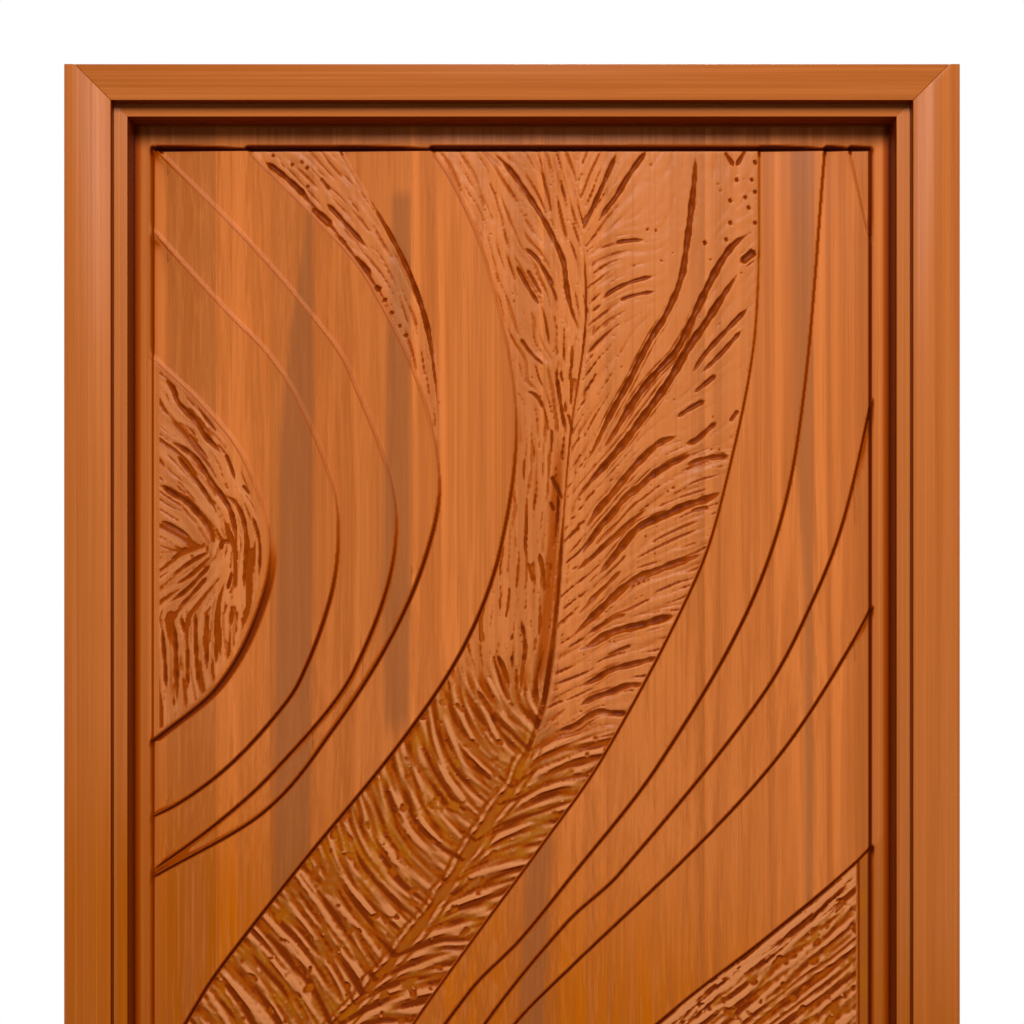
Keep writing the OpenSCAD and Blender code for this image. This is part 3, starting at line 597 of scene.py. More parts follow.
def bands(x, z):
    """Depth of the plain bands below the leaf's face, before any gouge cut."""
    edge = np.full_like(z, FIELD_HALF)

    def below(line):
        """The line up to its top point, and the field's right edge above it."""
        return np.where(z < LINES[line][0][1], at(line, z), edge)

    a, b, c, e, left, right = (at(line, z) for line in ("a", "b", "c", "e", "feather_left", "feather_right"))
    f, g, h, i, low_top, low_bot = (below(line) for line in ("f", "g", "h", "i", "low_top", "low_bot"))
    raised = (z > HALF_LEAF_LOW) & (z < HALF_LEAF_HIGH)
    start = np.where(raised, at("half_leaf", z), -edge)
    crescent = np.where(z > CRESCENT_FOOT, np.maximum(c, at("crescent", z)), c)
    corner = np.where(z > LINES["corner"][-1][1], at("corner", z), edge)
    rows = [(start, a, STEP), (a, b, STEP), (b, c, STEP), (c, crescent, CRESCENT_SUNK),
            (crescent, left, STEP), (left, right, SUNK), (right, e, STEP), (e, np.minimum(corner, f), STEP),
            (corner, edge, CORNER_SUNK), (f, g, STEP), (g, low_top, STEP), (low_top, low_bot, SUNK),
            (low_bot, h, STEP), (h, i, STEP), (i, edge, LAST_STEP)]
    depth = np.full((len(z), len(x)), BETWEEN_BANDS)
    for near, far, (low, high) in rows:
        near, far = np.clip(near, -FIELD_HALF, FIELD_HALF), np.clip(far, -FIELD_HALF, FIELD_HALF)
        t = (x[None, :] - near[:, None]) / np.maximum(far - near, 1e-6)[:, None]
        np.copyto(depth, low + (high - low) * t, where=(t >= 0) & (t < 1))
    rim = start[:, None] - x[None, :]
    rounded = HALF_LEAF_DEPTH + RIM_DROP * np.clip(1 - rim / RIM_WIDTH, 0, 1) ** 2
    np.copyto(depth, rounded, where=raised[:, None] & (rim > 0))
    inside = (np.abs(x) < FIELD_HALF)[None, :] & ((z > FIELD_LOW) & (z < FIELD_TOP))[:, None]
    return np.where(inside, depth, 0.0)


class Carving:
    """The leaf's carved face on a grid of columns and rows: its depth in millimetres, and its paint."""

    def __init__(self, xs, zs, leaf):
        self.xs, self.zs, self.leaf = xs, zs, leaf
        self.x, self.z = xs[None, :], zs[:, None]
        self.rng = np.random.default_rng(leaf.seed)
        spread = np.array([-0.45, 0.0, 0.45]) * leaf.cell
        fine_x, fine_z = ((a[:, None] + spread).ravel() for a in (xs, zs))
        self.base = soft(bands(fine_x, fine_z).reshape(len(zs), 3, len(xs), 3).mean((1, 3)))
        self.cuts = np.zeros_like(self.base)
        self.lay_out()
        self.cut_long()
        self.cut_nicks()
        self.raise_ridges()
        self.cut_half_leaf()
        self.cut_pits()
        self.leave_uneven()
        self.cut_rib(self.feather, *FEATHER_RIB)
        self.cut_rib(self.low_leaf, *LOW_RIB)
        self.join()
        self.measure()

    def beside(self, line):
        """How far each point lies to the right of a line."""
        return self.x - at(line, self.zs)[:, None]

    def patches(self, cells):
        """Chance patches of about that many cells, with a spread of 1."""
        patches = blur(self.rng.normal(0, 1, self.base.shape), cells)
        return patches / patches.std()

    def stroke(self, points, half, depth, ends):
        """One cut of the gouge."""
        stamp(self.cuts, self.xs, self.zs, points, half, depth, ends)

    def lay_out(self):
        """Shares of the feather, the leaves, the crescent and the cut-down ground at each point."""
        x, z = self.x, self.z

        def between(left, right):
            return smooth(self.beside(left), 0, 5) * smooth(-self.beside(right), 0, 5)

        self.feather = between("feather_left", "feather_right")
        whole_low_leaf = between("low_top", "low_bot") * (z < LOW_LEAF_TOP)
        self.low_leaf = whole_low_leaf * smooth(STRIP_X - x, 0, 3)
        self.strip = whole_low_leaf * smooth(x, STRIP_X, STRIP_X + 2)
        self.right_side = smooth(self.beside("feather_rib"), -2, 2)
        low, high = HALF_LEAF_CUTS
        self.half_leaf = smooth(-self.beside("half_leaf"), 9, 13) * ((z > low) & (z < high))
        self.half_leaf *= smooth(x - HALF_LEAF_EDGE, 0, 3)
        self.crescent = smooth(self.beside("c"), 0, 3) * smooth(6 - self.beside("crescent"), 0, 3)
        self.crescent *= z > CRESCENT_CUTS
        lower_feather = self.feather * smooth(GROUND_TOP - z - GROUND_LAG * self.right_side, 0, 130)
        self.ground = np.maximum(lower_feather, self.low_leaf)

    def cut_long(self):
        """The long gouge cuts, the finer cuts on each side of the widest ones, and the punched pits."""
        rng = self.rng
        for half, points in LONG_CUTS:
            path, start = soften(points), points[0][0]
            width = 1.2 if start > ALONE_X else 0.95
            self.stroke(path, width * half, self.leaf.cut * half / 4, LONG_ENDS)
            if half <= ALONE_HALF or start <= ALONE_X:
                continue
            beside = path[len(path) // 3:] if start > LAST_PART_X else path[:len(path) // 2]
            for side in (-1, 1):
                aside = beside + ACROSS_CUTS * side * (half + rng.uniform(2.0, 4.5))
                self.stroke(aside, rng.uniform(1.5, 2.2), rng.uniform(0.6, 1.2), BESIDE_ENDS)
        for x, z in PITS:
            self.stroke([(x - 2, z - 1), (x + 2, z + 1)], 3.4, 2.4, PIT_ENDS)

    def cut_nicks(self):
        """Fine nicks among the long cuts, closest beside the rib and along the left of the feather."""
        z, feather, right_side = self.z, self.feather, self.right_side
        steps = flow(self.xs, self.zs)
        self.fine = fine = combed(self.rng, steps, 1, 15)
        self.coarse = coarse = combed(self.rng, steps, 2, 22)
        self.broad = broad = combed(self.rng, steps, 3, 26)
        from_rib = np.abs(self.beside("feather_rib"))
        sparse = 1 - 0.8 * right_side * smooth(z, *OPEN_FADE) * smooth(from_rib, *OPEN_WAY)
        thinner = 1 - 0.5 * (1 - right_side) * smooth(from_rib, *EDGE_WAY) * smooth(z, *EDGE_FADE)
        upper = feather * (1 - self.ground ** 2)
        dense = most(upper * sparse * thinner, 0.6 * self.half_leaf, 0.7 * self.crescent)
        self.deep = most(self.cuts, 1.7 * self.half_leaf * smooth(coarse + 0.3 * fine, 0.6, 1.8))
        left_part = upper * (1 - right_side) * smooth(z, *LEFT_FADE)
        self.cuts = most(self.deep, self.leaf.nick * dense * smooth(fine, 0.5, 1.9),
                         1.1 * left_part * smooth(fine + 0.5 * coarse, 0.3, 1.8))
        self.bumps = 0.5 * dense * np.clip(coarse, -1.5, 1.5)
        self.bumps += 0.25 * feather * sparse * np.clip(broad, -1.5, 1.5)

    def raise_ridges(self):
        """Ridges and dots that stand on the cut-down ground, and the valleys between them."""
        ground, low_leaf = self.ground, self.low_leaf
        patchy = smooth(self.patches(3), -1.9, -0.9)
        share = 0.45 * (1 - 0.5 * self.right_side)
        height = (1 - share) * self.coarse + share * self.broad + 0.3 * self.fine + 0.35 * low_leaf
        # Valleys between the ridges, painted dark as stain and painted shade together.
        self.valley = ground * patchy * (1 - smooth(height, -1.1, -0.15))
        under_edge = self.beside("low_top")
        band = smooth(under_edge, 4, 9) * (1 - smooth(under_edge + 9 * self.fine, 24, 32)) * low_leaf
        dots = ground * smooth(self.patches(1), 2.1, 2.6)
        ridges = np.minimum(1, 1.8 * ground) * patchy * smooth(height, -0.9, 1.7)
        self.ridges = self.leaf.ridge * most(ridges, 0.9 * band, 0.8 * dots)

    def cut_half_leaf(self):
        """Small cuts of the half leaf: some follow its rim between the long ones, some stand at its foot."""
        rng, heart = self.rng, np.array(HALF_LEAF_HEART)
        for _ in range(RIM_CUTS):
            share = rng.uniform(0.3, 0.93)
            top = rng.uniform(*RIM_CUT_TOPS)
            line = np.linspace(top, top - rng.uniform(12, 40), 4)
            rim = np.stack([at("half_leaf", line), line], 1)
            points = heart + share * (rim - heart) + rng.normal(0, 0.9, (4, 2))
            self.stroke(points, rng.uniform(2.2, 3.2), rng.uniform(0.8, 1.8), SHORT_ENDS)
        for _ in range(FOOT_CUTS):
            x = rng.uniform(*FOOT_CUT_SPAN)
            z = rng.uniform(1345 + 130 * max(0, (x + 440) / 125) ** 1.4, 1460)
            end = (x + rng.normal(0, 1.5), z + rng.uniform(10, 35))
            self.stroke([(x, z), end], rng.uniform(2.2, 3.2), rng.uniform(0.8, 2.0), SHORT_ENDS)

    def cut_pits(self):
        """Small pits left by the point of the gouge."""
        rng = self.rng
        for _ in range(CHANCE_PITS):
            z = rng.uniform(*PIT_HEIGHTS)
            left, right = at("feather_left", z), at("feather_right", z)
            x = left + rng.uniform(0.03, 0.97) * (right - left)
            end = (x + rng.uniform(1, 4), z + rng.uniform(-1, 3))
            self.stroke([(x, z), end], 2.4, rng.uniform(0.6, 1.4), SHORT_ENDS)

    def leave_uneven(self):
        """Uneven hand-cut surface, and a hollow scooped along the left of the rib."""
        self.uneven = 0.05 * self.patches(2) + 0.09 * self.patches(7)
        hollow = SCOOP_DEPTH * np.exp(-((self.beside("feather_rib") + SCOOP_ASIDE) / SCOOP_HALF) ** 2)
        faded = smooth(self.z, *SCOOP_FOOT) * (1 - smooth(self.z, *SCOOP_TOP))
        self.scoop = hollow * faded * self.feather

    def cut_rib(self, part, line, top, turn, channel):
        """A rib: a fine cut beside a low ridge above the turn, a sunk channel between two rails below it."""
        z, zs = self.z, self.zs
        lean = np.gradient(at(line, zs), zs)
        away = self.beside(line) / np.sqrt(1 + lean ** 2)[:, None]
        below = smooth(turn - z, 0, 120) * (z < top)
        above = (1 - below) * smooth(top - z, 0, 60)
        knots = np.arange(-40, 2200, 22)
        wander = np.interp(zs, knots, self.rng.normal(0, 1, len(knots)))[:, None]
        wide = 1.7 + (2.6 + 0.6 * wander) * smooth(1620 - z, 0, 150)
        fine_cut = part * above * hump(away + 2, wide)
        self.cuts = most(self.cuts, np.minimum(1.1 * wide, 3.2) * fine_cut)
        self.deep = most(self.deep, 1.2 * fine_cut * smooth(1640 - z, 0, 150))
        channel = channel + 1.6 * wander
        past = np.abs(away) - channel
        ridges = most(self.ridges, 1.5 * part * above * hump(away - 4, 4.5))
        ridges = ridges * (1 - below * (1 - smooth(past, -3, 0)))
        ridges = ridges * (1 - 0.85 * below * np.exp(-((past - 6) / 2.2) ** 2))
        beads = 0.75 + 0.25 * np.sin(z * 0.42 + 1.7 * np.sin(z * 0.11))
        broken = 0.35 + 0.65 * smooth(self.coarse - 0.5 * self.fine, -0.8, 0.8)
        broken = np.where(away < 0, 0.6 + 0.65 * broken, broken)
        rails = self.leaf.ridge * beads * broken * hump(past - 1, 3.2)
        self.ridges = most(ridges, part * below * rails)

    def join(self):
        """Puts the bands, cuts and ridges together, with a lip and grooves round the carved field."""
        x, z = self.x, self.z
        from_side, from_top, from_foot = FIELD_HALF - np.abs(x), FIELD_TOP - z, z - FIELD_LOW
        part = most(self.feather, self.low_leaf, self.half_leaf, self.crescent)
        part = part * smooth(from_side, 1, 5) * smooth(from_top, 1, 5) * smooth(from_foot, 1, 5)
        self.part, self.cuts, self.ridges = part, self.cuts * part, self.ridges * part
        top_lip = 7.0 * smooth(-from_top, -4.5, -3) * (from_top > 0) * smooth(from_side, 1, 4)
        strip_edge = hump(x - STRIP_X - 1.5, 2) * (self.low_leaf + self.strip > 0)
        self.lip = most(top_lip, 2.2 * strip_edge)
        within = smooth(from_top, 0, 2) * smooth(from_foot, 0, 2)
        for side, wide in ((-1, 1.5), (1, 2.8)):
            self.lip = most(self.lip, 1.2 * wide * within * hump(side * x - FIELD_HALF + wide, wide))
        relief = self.leaf.ground * self.ground + self.uneven + self.scoop - self.bumps
        self.depth = self.base + self.cuts - self.ridges + relief * part + self.lip

    def measure(self):
        """How each point lies to its surroundings, and how steep the bands are and which way they face."""
        detail = self.depth - self.base
        self.near, self.wide = detail - blur(detail, 2), detail - blur(detail, 6)
        self.tilt = np.gradient(soft(detail), self.zs, axis=0)
        self.steep = np.hypot(*np.gradient(self.base, self.zs, self.xs))
        self.wall = smooth(self.steep, 0.25, 1.0)
        rise, run = np.gradient(blur(self.base, 4), self.zs, self.xs)
        self.facing = rise / np.maximum(np.hypot(rise, run), 1e-6)

    def dark(self):
        """Share of dark paint: painted shade on what faces down, beside steps, under the half leaf's rim, in
        the lip round the field and at the border by the stop; in cuts and valleys it is stain and painted
        shade together.
        """
        z, part, tilt = self.z, self.part, self.tilt
        turned = smooth(-tilt, -0.25, 0.45)
        reach = np.where(self.half_leaf > 0, 0.65, 0.8 - 0.2 * smooth(1760 - z, 0, 80))
        past_rim = self.beside("half_leaf")
        rim_shadow = smooth(past_rim, -1, 1) * (1 - smooth(past_rim, 5, 10)) * (z > HALF_LEAF_CUTS[0])
        facing_down = smooth(-self.facing, -0.3, 0.45)
        by_step = blur(self.steep, 1)
        high_side = smooth(blur(self.base, 3) - self.base, 0.3, 1.2) * (1 - self.wall)
        return np.clip(most(
            0.5 * np.clip(self.near, 0, 1) + 0.35 * np.clip(self.wide / 2.6, 0, 1),
            0.8 * smooth(-tilt, 0.3, 0.95) * self.ground * part,
            0.75 * self.valley * part,
            smooth(self.deep * part, 0.15, 1.2) * reach * (0.75 + 0.25 * turned),
            0.55 * smooth(self.cuts, 0.3, 1.4) * (0.45 + 0.55 * turned),
            0.35 * smooth(self.scoop * part, 0.8, 3.5),
            smooth(self.lip, 0.4, 3.0),
            0.8 * rim_shadow * smooth(1590 - z, 0, 100),
            0.95 * self.wall * facing_down,
            0.5 * smooth(by_step, 0.18, 0.5) * facing_down,
            0.5 * smooth(by_step, 0.12, 0.4) * high_side * smooth(self.facing, 0.0, 0.5),
            0.8 * smooth(np.abs(self.x), *STOP_SHADE_SIDE),
            0.8 * smooth(z, *STOP_SHADE_TOP)), 0, 1)

    def pale(self):
        """Share of pale paint: painted highlight on what faces up and on ridges, where it also stands for
        wear, and a painted sheen a little all over the cut parts.
        """
        part, tilt = self.part, self.tilt
        return most(
            0.4 * np.clip(-self.near / 0.8, 0, 1) * part,
            smooth(self.ridges + 0.5 * np.clip(2 * tilt, -1, 1), 1.0, 3.4),
            0.85 * smooth(tilt, 0.2, 0.8) * part,
            0.7 * self.wall * smooth(self.facing, 0.15, 0.7),
            0.22 * (1 - self.ground) * part,
            0.6 * self.half_leaf * smooth(-self.coarse, -0.3, 0.8))

    def paint(self):
        """Shares of dark, pale, cut-down ground and heartwood, as the four channels of a colour."""
        dark = self.dark()
        strip = self.strip * np.where(np.abs(self.x) < FIELD_HALF, 0.7, 0.35)
        ground = np.maximum(self.ground * self.part, strip)
        return np.stack([dark, self.pale() * (1 - dark), ground, heartwood(self.xs, self.zs)], -1)


def heartwood(xs, zs):
    """Share of dark heartwood at each column and row."""
    share = np.zeros((len(zs), len(xs)))
    for streak in STREAKS:
        z, left, right = np.array(streak[::-1], float).T
        from_left = xs[None, :] - np.interp(zs, z, left)[:, None]
        from_right = np.interp(zs, z, right)[:, None] - xs[None, :]
        across = smooth(from_left, -STREAK_LEFT, STREAK_LEFT)
        across *= smooth(from_right, -STREAK_RIGHT, STREAK_RIGHT)
        along = smooth(zs, z[0] - STREAK_FOOT, z[0]) * (1 - smooth(zs, z[-1], z[-1] + STREAK_TOP))
        share = np.maximum(share, across * along[:, None])
    return share


def bend(field):
    """How far each block of a field strays from the plane through its corners."""
    def corner(a, b):
        return field[a:len(field) - BLOCK + a:BLOCK, b:field.shape[1] - BLOCK + b:BLOCK]

    strayed = np.zeros(corner(0, 0).shape)
    for a in range(BLOCK + 1):
        for b in range(BLOCK + 1):
            u, v = a / BLOCK, b / BLOCK
            level = ((1 - u) * ((1 - v) * corner(0, 0) + v * corner(0, BLOCK))
                     + u * ((1 - v) * corner(BLOCK, 0) + v * corner(BLOCK, BLOCK)))
            strayed = np.maximum(strayed, np.abs(corner(a, b) - level))
    return strayed


def block_sizes(depth, paint, zs, plain):
    """Cell size in each block of the surface: one face where it is plain, small cells where it is cut."""
    shape, shade = bend(depth), bend(paint[..., 0])
    cut = (shape > plain) | (shade > PAINT_CUT)
    sharp = (shape > SHARP * plain) | (shade > PAINT_SHARP)
    sharp &= (zs[:-1:BLOCK] > CLOSE_UP)[:, None]
    return np.where(sharp, 1, np.where(cut, 2, BLOCK))


# Materials.

class Graph:
    """A short way to write a material's nodes."""

    def __init__(self, tree):
        self.nodes, self.links = tree.nodes, tree.links

    def add(self, kind, **settings):
        node = self.nodes.new(kind)
        for key, value in settings.items():
            setattr(node, key, value)
        return node

    def put(self, socket, value):
        if isinstance(value, bpy.types.NodeSocket):
            self.links.new(value, socket)
        else:
            socket.default_value = value

    def math(self, operation, a, b):
        node = self.add("ShaderNodeMath", operation=operation)
        self.put(node.inputs[0], a)
        self.put(node.inputs[1], b)
        return node.outputs[0]

    def mix(self, share, a, b):
        node = self.add("ShaderNodeMix", data_type="RGBA")
        self.put(node.inputs["Factor"], share)
        self.put(node.inputs[6], a)
        self.put(node.inputs[7], b)
        return node.outputs[2]

    def span(self, value, low, high, out_low=0.0, out_high=1.0):
        node = self.add("ShaderNodeMapRange", interpolation_type="SMOOTHSTEP")
        for socket, v in zip(node.inputs, (value, low, high, out_low, out_high)):
            self.put(socket, v)
        return node.outputs[0]

    def noise(self, where, scale, shift=(0, 0, 0), detail=4.0, rough=0.55, bend=0.0):
        place = self.add("ShaderNodeMapping")
        self.put(place.inputs["Vector"], where)
        place.inputs["Scale"].default_value = scale
        place.inputs["Location"].default_value = shift
        node = self.add("ShaderNodeTexNoise")
        self.put(node.inputs["Vector"], place.outputs[0])
        for key, v in (("Scale", 1.0), ("Detail", detail), ("Roughness", rough), ("Distortion", bend)):
            node.inputs[key].default_value = v
        return node.outputs[0]


def rgba(colour, factor=1.0):
    """A colour with full cover, lighter or darker by a factor."""
    return tuple(min(1.0, c * factor) for c in colour) + (1.0,)


def teak(name, tones, along, shift, carved=False):
    """Oiled teak with its grain along one axis, paler above with a painted sheen and golden near the floor;
    where carved, dark with painted shade and stain, and pale with painted highlight and wear on ridges.
    """
    wood = bpy.context.scene.door_wood
    material = bpy.data.materials.new(name)
    material.use_nodes = True
    g = Graph(material.node_tree)
    shader = g.nodes["Principled BSDF"]
    where = g.add("ShaderNodeTexCoord").outputs["Object"]
    axes = g.add("ShaderNodeSeparateXYZ")
    g.put(axes.inputs[0], where)

    def scale(across, run):
        return (run, across, across) if along == "X" else (across, across, run)

    lean = g.math("ADD", axes.outputs["Z"], g.math("MULTIPLY", axes.outputs["X"], 0.25))
    # Painted sheen: paler upper colour, fading to the golden low colour near the floor.
    lift = g.span(lean, 0.98, 1.28)
    broad = g.noise(where, scale(32, 0.3), (shift, 0, shift * 2), 3, 0.55, 0.8)
    streak = g.noise(where, scale(115, 0.6), (shift * 3, 0, 0), 4, 0.6, 0.5)
    figure = g.noise(where, scale(280, 1.1), (shift, shift, 0), 3, 0.6, 0.3)
    pore = g.noise(where, scale(700, 7), (0, shift, 0), 2, 0.5)
    colour = g.mix(lift, rgba(wood.low, tones[1]), rgba(wood.high, tones[0]))
    colour = g.mix(g.span(broad, 0.42, 0.62, 0.0, 0.62), colour, rgba(BROAD_GRAIN))
    colour = g.mix(g.span(streak, 0.45, 0.65, 0.0, 0.42), colour, rgba(DARK_STREAK))
    colour = g.mix(g.span(figure, 0.48, 0.66, 0.0, 0.22), colour, rgba(PALE_FIGURE))
    colour = g.mix(g.span(pore, 0.56, 0.76, 0.0, 0.25), colour, rgba(PORE))
    height = g.math("ADD", g.math("MULTIPLY", pore, -0.5), g.math("MULTIPLY", streak, 0.3))
    if carved:
        paint = g.add("ShaderNodeAttribute", attribute_name="carve")
        parts = g.add("ShaderNodeSeparateColor")
        g.put(parts.inputs[0], paint.outputs["Color"])
        dark, pale, ground = parts.outputs
        tool = g.noise(where, (160, 160, 160), (shift, 0, 0), 3, 0.6)
        colour = g.mix(g.math("MULTIPLY", paint.outputs["Alpha"], 0.55), colour, rgba(HEARTWOOD))
        colour = g.mix(g.math("MULTIPLY", ground, 0.75), colour, rgba(GROUND_BROWN))
        gold = g.span(g.noise(where, (22, 22, 22), (shift, 0, 0), 2, 0.5), 0.46, 0.62, 0.0, 0.75)
        colour = g.mix(g.math("MULTIPLY", ground, gold), colour, rgba(GROUND_GOLD))
        # Pale paint: painted highlight, also standing for wear on the ridges.
        colour = g.mix(g.math("MULTIPLY", pale, 0.85), colour, rgba(wood.ridge_highlight_and_wear))
        # Dark paint: painted shade and stain in the cuts, near black where the painted shadow is deepest.
        colour = g.mix(g.span(dark, 0.0, 0.45), colour, rgba(CUT_EDGE))
        colour = g.mix(g.span(dark, 0.25, 1.0), colour, rgba(wood.cut))
        colour = g.mix(g.span(dark, 0.86, 1.0), colour, rgba(DEEPEST_PAINTED_SHADOW))
        rough = g.math("MULTIPLY", ground, g.math("MULTIPLY", tool, 2.0))
        height = g.math("ADD", height, rough)
    bump = g.add("ShaderNodeBump")
    bump.inputs["Strength"].default_value = 0.16
    bump.inputs["Distance"].default_value = GRAIN_DEPTH
    g.put(bump.inputs["Height"], height)
    g.put(shader.inputs["Base Color"], colour)
    g.put(shader.inputs["Normal"], bump.outputs[0])
    g.put(shader.inputs["Roughness"], g.span(streak, 0.2, 0.8, wood.gloss - 0.06, wood.gloss + 0.08))
    shader.inputs["Specular IOR Level"].default_value = SHEEN[along]
    return material


def brass(name):
    """Satin brass with fine drawn lines and a little tarnish."""
    material = bpy.data.materials.new(name)
    material.use_nodes = True
    g = Graph(material.node_tree)
    shader = g.nodes["Principled BSDF"]
    where = g.add("ShaderNodeTexCoord").outputs["Object"]
    drawn = g.noise(where, (900, 900, 30), (0, 0, 0), 2, 0.5)
    tarnish = g.noise(where, (60, 60, 60), (3, 0, 0), 4, 0.6)
    colour = g.mix(g.span(tarnish, 0.45, 0.75, 0.0, 0.6), rgba(BRASS), rgba(TARNISH))
    g.put(shader.inputs["Base Color"], colour)
    g.put(shader.inputs["Roughness"], g.span(drawn, 0.3, 0.7, 0.24, 0.42))
    shader.inputs["Metallic"].default_value = 1.0
    return material


# Pieces.

def new_object(name, mesh, material):
    """Links a mesh into the scene with one material."""
    piece = bpy.data.objects.new(name, mesh)
    bpy.context.scene.collection.objects.link(piece)
    mesh.materials.clear()
    mesh.materials.append(material)
    return piece


def board(name, xs, zs, depth, paint, sizes, material):
    """One stave as a closed board whose front follows the carving, in small faces only where it is cut."""
    used = np.zeros(depth.shape, bool)
    cells = {}
    for size in (1, 2, BLOCK):
        corner = np.argwhere(sizes == size)[:, None, :] * BLOCK
        step = np.arange(0, BLOCK, size)
        offset = np.stack(np.meshgrid(step, step, indexing="ij"), -1).reshape(1, -1, 2)
        cells[size] = r, c = (corner + offset).reshape(-1, 2).T
        for dr, dc in ((0, 0), (0, size), (size, 0), (size, size)):
            used[r + dr, c + dc] = True
    index = (np.cumsum(used) - 1).reshape(used.shape)
    r, c = cells[1]
    faces = np.stack([index[r, c], index[r, c + 1], index[r + 1, c + 1], index[r + 1, c]], -1).tolist()
    for size in (2, BLOCK):
        steps = range(size)
        ring = ([(0, k) for k in steps] + [(k, size) for k in steps] + [(size, size - k) for k in steps]
                + [(size - k, 0) for k in steps])
        for r, c in zip(*cells[size]):
            faces.append([index[r + dr, c + dc] for dr, dc in ring if used[r + dr, c + dc]])
    smooth_faces = len(faces)

    rows, columns = np.nonzero(used)
    front = np.stack([xs[columns], LEAF_LOW[1] + depth[rows, columns], zs[rows]], 1) / MM
    back = [(xs[i] / MM, LEAF_HIGH[1] / MM, zs[k] / MM) for i, k in ((0, 0), (-1, 0), (-1, -1), (0, -1))]
    b = len(front)
    foot, top = (index[k][used[k]].tolist() for k in (0, -1))
    left, right = (index[:, k][used[:, k]].tolist() for k in (0, -1))
    faces += [[b, b + 1] + foot[::-1], [b + 1, b + 2] + right[::-1], [b + 2, b + 3] + top, [b + 3, b] + left,
              [b + 3, b + 2, b + 1, b]]
    mesh = bpy.data.meshes.new(name)
    mesh.from_pydata(front.tolist() + back, [], faces)
    mesh.polygons.foreach_set("use_smooth", np.arange(len(faces)) < smooth_faces)
    colour = np.zeros((b + 4, 4), np.float32)
    colour[:b] = paint[rows, columns]
    mesh.color_attributes.new("carve", "FLOAT_COLOR", "POINT").data.foreach_set("color", colour.ravel())
    mesh.update()
    mesh.set_sharp_from_angle(angle=math.radians(80))
    return new_object(name, mesh, material)


def merged_copy(node, name, material):
    """A copy of a CAD node with its loose triangles merged into whole faces, selected and active."""
    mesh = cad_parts[node].data.copy()
    mesh.name = name
    piece = new_object(name, mesh, material)
    bpy.ops.object.select_all(action="DESELECT")
    piece.select_set(True)
    bpy.context.view_layer.objects.active = piece
    bpy.ops.object.mode_set(mode="EDIT")
    bpy.ops.mesh.select_all(action="SELECT")
    bpy.ops.mesh.customdata_custom_splitnormals_clear()
    bpy.ops.mesh.remove_doubles(threshold=1e-5)
    bpy.ops.mesh.dissolve_limited(angle_limit=math.radians(0.5))
    bpy.ops.object.mode_set(mode="OBJECT")
    return piece


def ease_edges(piece, shortest):
    """Rounds the edges of the active piece that are longer than the shortest."""
    mesh = piece.data
    co = np.empty(len(mesh.vertices) * 3)
    mesh.vertices.foreach_get("co", co)
    ends = np.empty(len(mesh.edges) * 2, int)
    mesh.edges.foreach_get("vertices", ends)
    a, b = co.reshape(-1, 3)[ends.reshape(-1, 2)].transpose(1, 0, 2)
    weight = (np.linalg.norm(a - b, axis=1) > shortest).astype(np.float32)
    mesh.attributes.new("bevel_weight_edge", "FLOAT", "EDGE").data.foreach_set("value", weight)
    bevel = piece.modifiers.new("ease", "BEVEL")
    bevel.width = EASE
    bevel.segments = 2
    bevel.limit_method = "WEIGHT"
    bpy.ops.object.modifier_apply(modifier=bevel.name)
    bpy.ops.object.shade_smooth_by_angle(angle=math.radians(30))


def paint_doorway_shade(piece, along):
    """Painted shade on the faces that look into the doorway, sideways on an upright and down on a head."""
    mesh = piece.data
    paint = mesh.color_attributes.new("carve", "FLOAT_COLOR", "CORNER")
    colour = np.zeros((len(mesh.loops), 4), np.float32)
    for face in mesh.polygons:
        inward = -face.normal[2] if along == "X" else -face.normal[0] * math.copysign(1, face.center[0])
        if inward > 0.7:
            colour[list(face.loop_indices), 0] = DOORWAY_SHADE
    paint.data.foreach_set("color", colour.ravel())


class DOOR_OT_leaf(bpy.types.Operator):
    """Builds the carved leaf as upright staves"""
    bl_idname = "door.leaf"
    bl_label = "Carved leaf"

    def execute(self, context):
        leaf = context.scene.door_leaf
        seams = [LEAF_LOW[0]] + SEAMS + [LEAF_HIGH[0]]
        spans = list(zip(seams, seams[1:]))
        cells = [BLOCK * max(2, round((b - a) / leaf.cell / BLOCK)) for a, b in spans]
        columns = [np.linspace(a, b, n, endpoint=False) for (a, b), n in zip(spans, cells)]
        xs = np.concatenate(columns + [[seams[-1]]])
        rows = BLOCK * round((LEAF_HIGH[2] - LEAF_LOW[2]) / leaf.cell / BLOCK)
        zs = np.linspace(LEAF_LOW[2], LEAF_HIGH[2], rows + 1)
        face = Carving(xs, zs, leaf)
        depth, paint = face.depth, face.paint()
        sizes = block_sizes(depth, paint, zs, leaf.plain)
        first = np.concatenate(([0], np.cumsum(cells)))
        for k, tones in enumerate(STAVE_TONES):
            part = slice(first[k], first[k + 1] + 1)
            material = teak(f"teak_stave_{k + 1:02d}", tones, "Z", 1.7 * k, carved=True)
            piece = board(f"stave_{k + 1:02d}", xs[part], zs, depth[:, part], paint[:, part],
                          sizes[:, first[k] // BLOCK:first[k + 1] // BLOCK], material)
            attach(piece, "leaf")
            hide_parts("leaf_slab")
        return {"FINISHED"}


